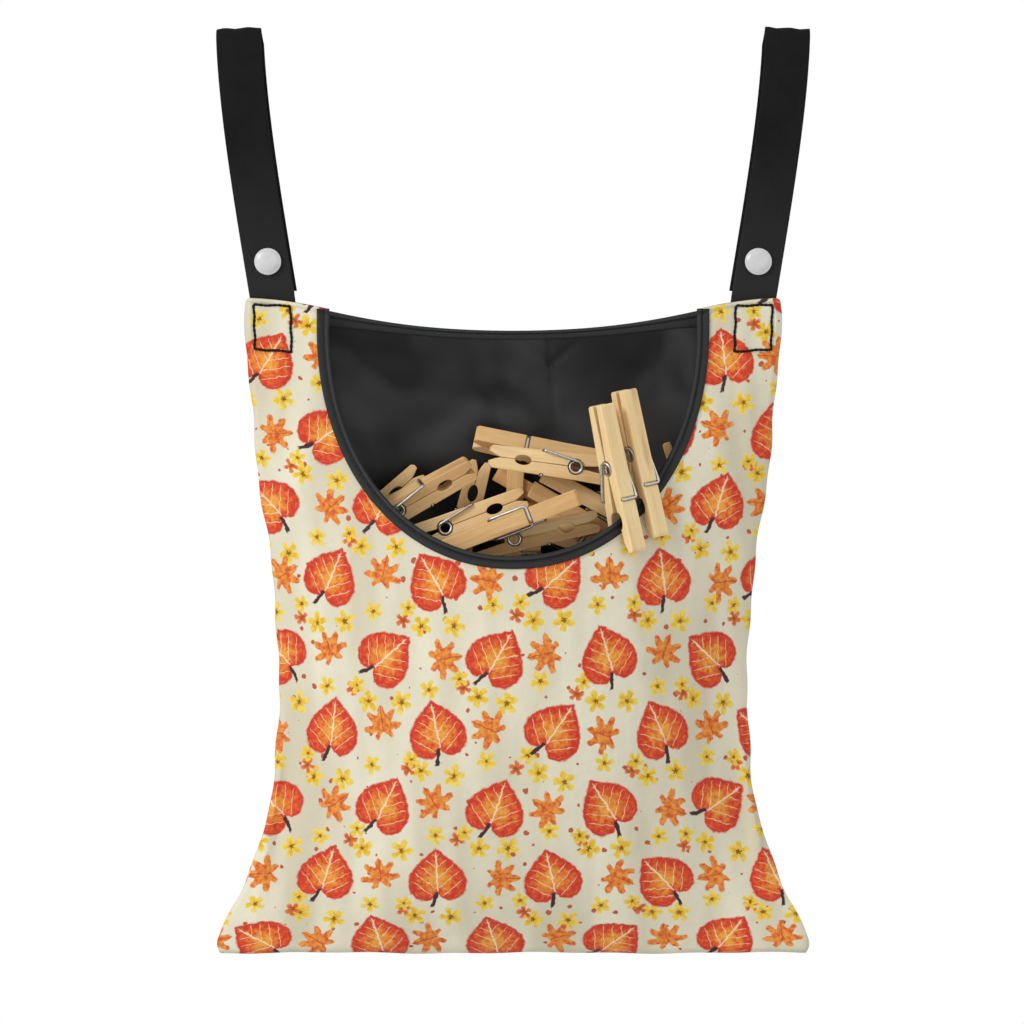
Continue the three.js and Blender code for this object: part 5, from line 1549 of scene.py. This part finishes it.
# Turns of each pattern in a metre along the lever and, many more, across it
streaked, banded, pored = (
    node(tree, "VectorMath", own, (along, across, across), operation="MULTIPLY")
    for along, across in ((22.0, 420.0), (14.0, 90.0), (120.0, 2400.0)))
streak = node(tree, "TexNoise", Vector=streaked, Scale=1.0, Detail=5.0, Roughness=0.62, Distortion=0.4)
band = node(tree, "TexNoise", Vector=banded, Scale=1.0, Detail=2.0)
pore = node(tree, "TexNoise", Vector=pored, Scale=1.0, Detail=2.0)
# A lit and a shaded copy of the wood's colours: painted light and shade, mixed by each lever's tone.
lit = node(tree, "MixRGB", streak, colour("#e8ba74"), colour("#ffedbf"))
deep = node(tree, "MixRGB", streak, colour("#ba8549"), colour("#efc88e"))
wood_colour = node(tree, "MixRGB", tone_and_painted_light, lit, deep)
stain = node(tree, "MapRange", Value=band, From_Min=0.6, From_Max=0.78, To_Max=0.55)
wood_colour = node(tree, "MixRGB", stain, wood_colour, colour("#9c6230"))
specks = node(tree, "MapRange", Value=pore, From_Min=0.62, From_Max=0.75, To_Max=0.3)
wood_colour = node(tree, "MixRGB", specks, wood_colour, colour("#8a5a2c"))
grain_height = node(tree, "Math", streak, pore, operation="ADD")
bump = node(tree, "Bump", Height=grain_height, Strength=0.25, Distance=0.0004)
feed(shader, Base_Color=wood_colour, Normal=bump)
wear(birch, *woods, heap)

# %% [markdown]
# ## Drawn spring wire
# The springs are drawn steel wire with a thin bright plating. Drawing leaves faint lines along the
# wire, so the highlights are soft.

# %% Drawn spring wire
steel, tree, shader = new_material("drawn zinc-plated steel wire", Metallic=1.0)
worn = node(tree, "TexNoise", Vector=solid_place(tree), Scale=0.7, Detail=3.0)
rough = node(tree, "MapRange", Value=worn, To_Min=0.2, To_Max=0.45)
bright = node(tree, "MixRGB", worn, colour("#8f8c88"), colour("#cfcdca"))
feed(shader, Base_Color=bright, Roughness=rough)
wear(steel, *wires, heap_wires)

# %% [markdown]
# ## The pieces in each slot
# The imported record lists a slot for each finish, such as print, lining or wood. Here a table lists
# which pieces wear each slot, and the count for each is printed.

# %% Slots
worn_by = {
    "print": [front_print, back_print],
    "lining": [front_satin, back_satin],
    "tape": [mouth_tape, back_tape],
    "webbing": webbing["left"] + webbing["right"],
    "thread": threads,
    "stud": studs,
    "wood": [*woods, heap],
    "steel": [*wires, heap_wires],
}
for name, objs in worn_by.items():
    print(name, "is worn by", len(objs), "pieces")

# %% [markdown]
# ## Cut sizes of the cloth
# Each panel was cut flat before it was sewn. Its flat size and area were measured along the cloth when
# it was made, and both are kept with the piece; the areas are printed here. The lining lies inside the
# seams, so it is cut a little smaller than the print.

# %% Sheets
for name, (sheet, size, area) in cloth.items():
    print(name, "is cut from", round(area, 3), "m2 of cloth")

# %% [markdown]
# ## The floor
# The bag hangs, so the floor is only there to close the picture: a plain pale sheet well below the hem.
# It is painted matt, so it gives no sharp reflection.

# %% Stage
FLOOR_REACH, FLOOR_LEVEL = 1500.0, -850.0
corners = FLOOR_REACH * np.array([[-1, -1], [1, -1], [1, 1], [-1, 1]])
floor = piece_from("floor", np.insert(corners, 2, FLOOR_LEVEL, axis=1), np.array([[0, 1, 2, 3]]),
                   facing=np.array([0.0, 0, 1]))
wear(new_material("pale floor", Roughness=0.9, Base_Color=colour("#f4f4f2"))[0], floor)

# %% [markdown]
# ## Studio light
# The photograph has even light with a little more from the left. An even white world gives most of it,
# at half strength, and a large soft lamp high on the left gives the folds their shade. The camera, the
# glossy rays and the transmitted rays see a full white world, so the background is white and the wire
# has something bright to reflect.

# %% Light
world = bpy.data.worlds.new("studio")
bpy.context.scene.world = world
world.use_nodes = True
tree = world.node_tree
tree.nodes.clear()
path = node(tree, "LightPath")
seen = node(tree, "Math", path.outputs["Is Camera Ray"], path.outputs["Is Glossy Ray"], operation="MAXIMUM")
seen = node(tree, "Math", seen, path.outputs["Is Transmission Ray"], operation="MAXIMUM")
plain = node(tree, "Background", Color=colour("#ffffff"), Strength=1.0)
soft = node(tree, "Background", Color=colour("#ffffff"), Strength=0.5)
mixed = node(tree, "MixShader", seen, soft, plain)
node(tree, "OutputWorld", Surface=mixed)


def lamp(name, place, aim, size, power):
    """A square soft lamp that faces a point."""
    data = bpy.data.lights.new(name, "AREA")
    data.energy, data.size = power, size
    obj = bpy.data.objects.new(name, data)
    obj.location = place
    toward = np.array(aim, float) - np.array(place, float)
    tilt = math.acos(-toward[2] / np.linalg.norm(toward))
    obj.rotation_euler = (tilt, 0, math.atan2(toward[1], toward[0]) - math.pi / 2)
    bpy.context.scene.collection.objects.link(obj)
    return obj


middle = (0, 0, -0.3)
lamp("key", (-1.7, -1.3, 0.8), middle, 0.9, 30)
lamp("fill", (1.6, -1.5, 0.3), middle, 1.6, 9)
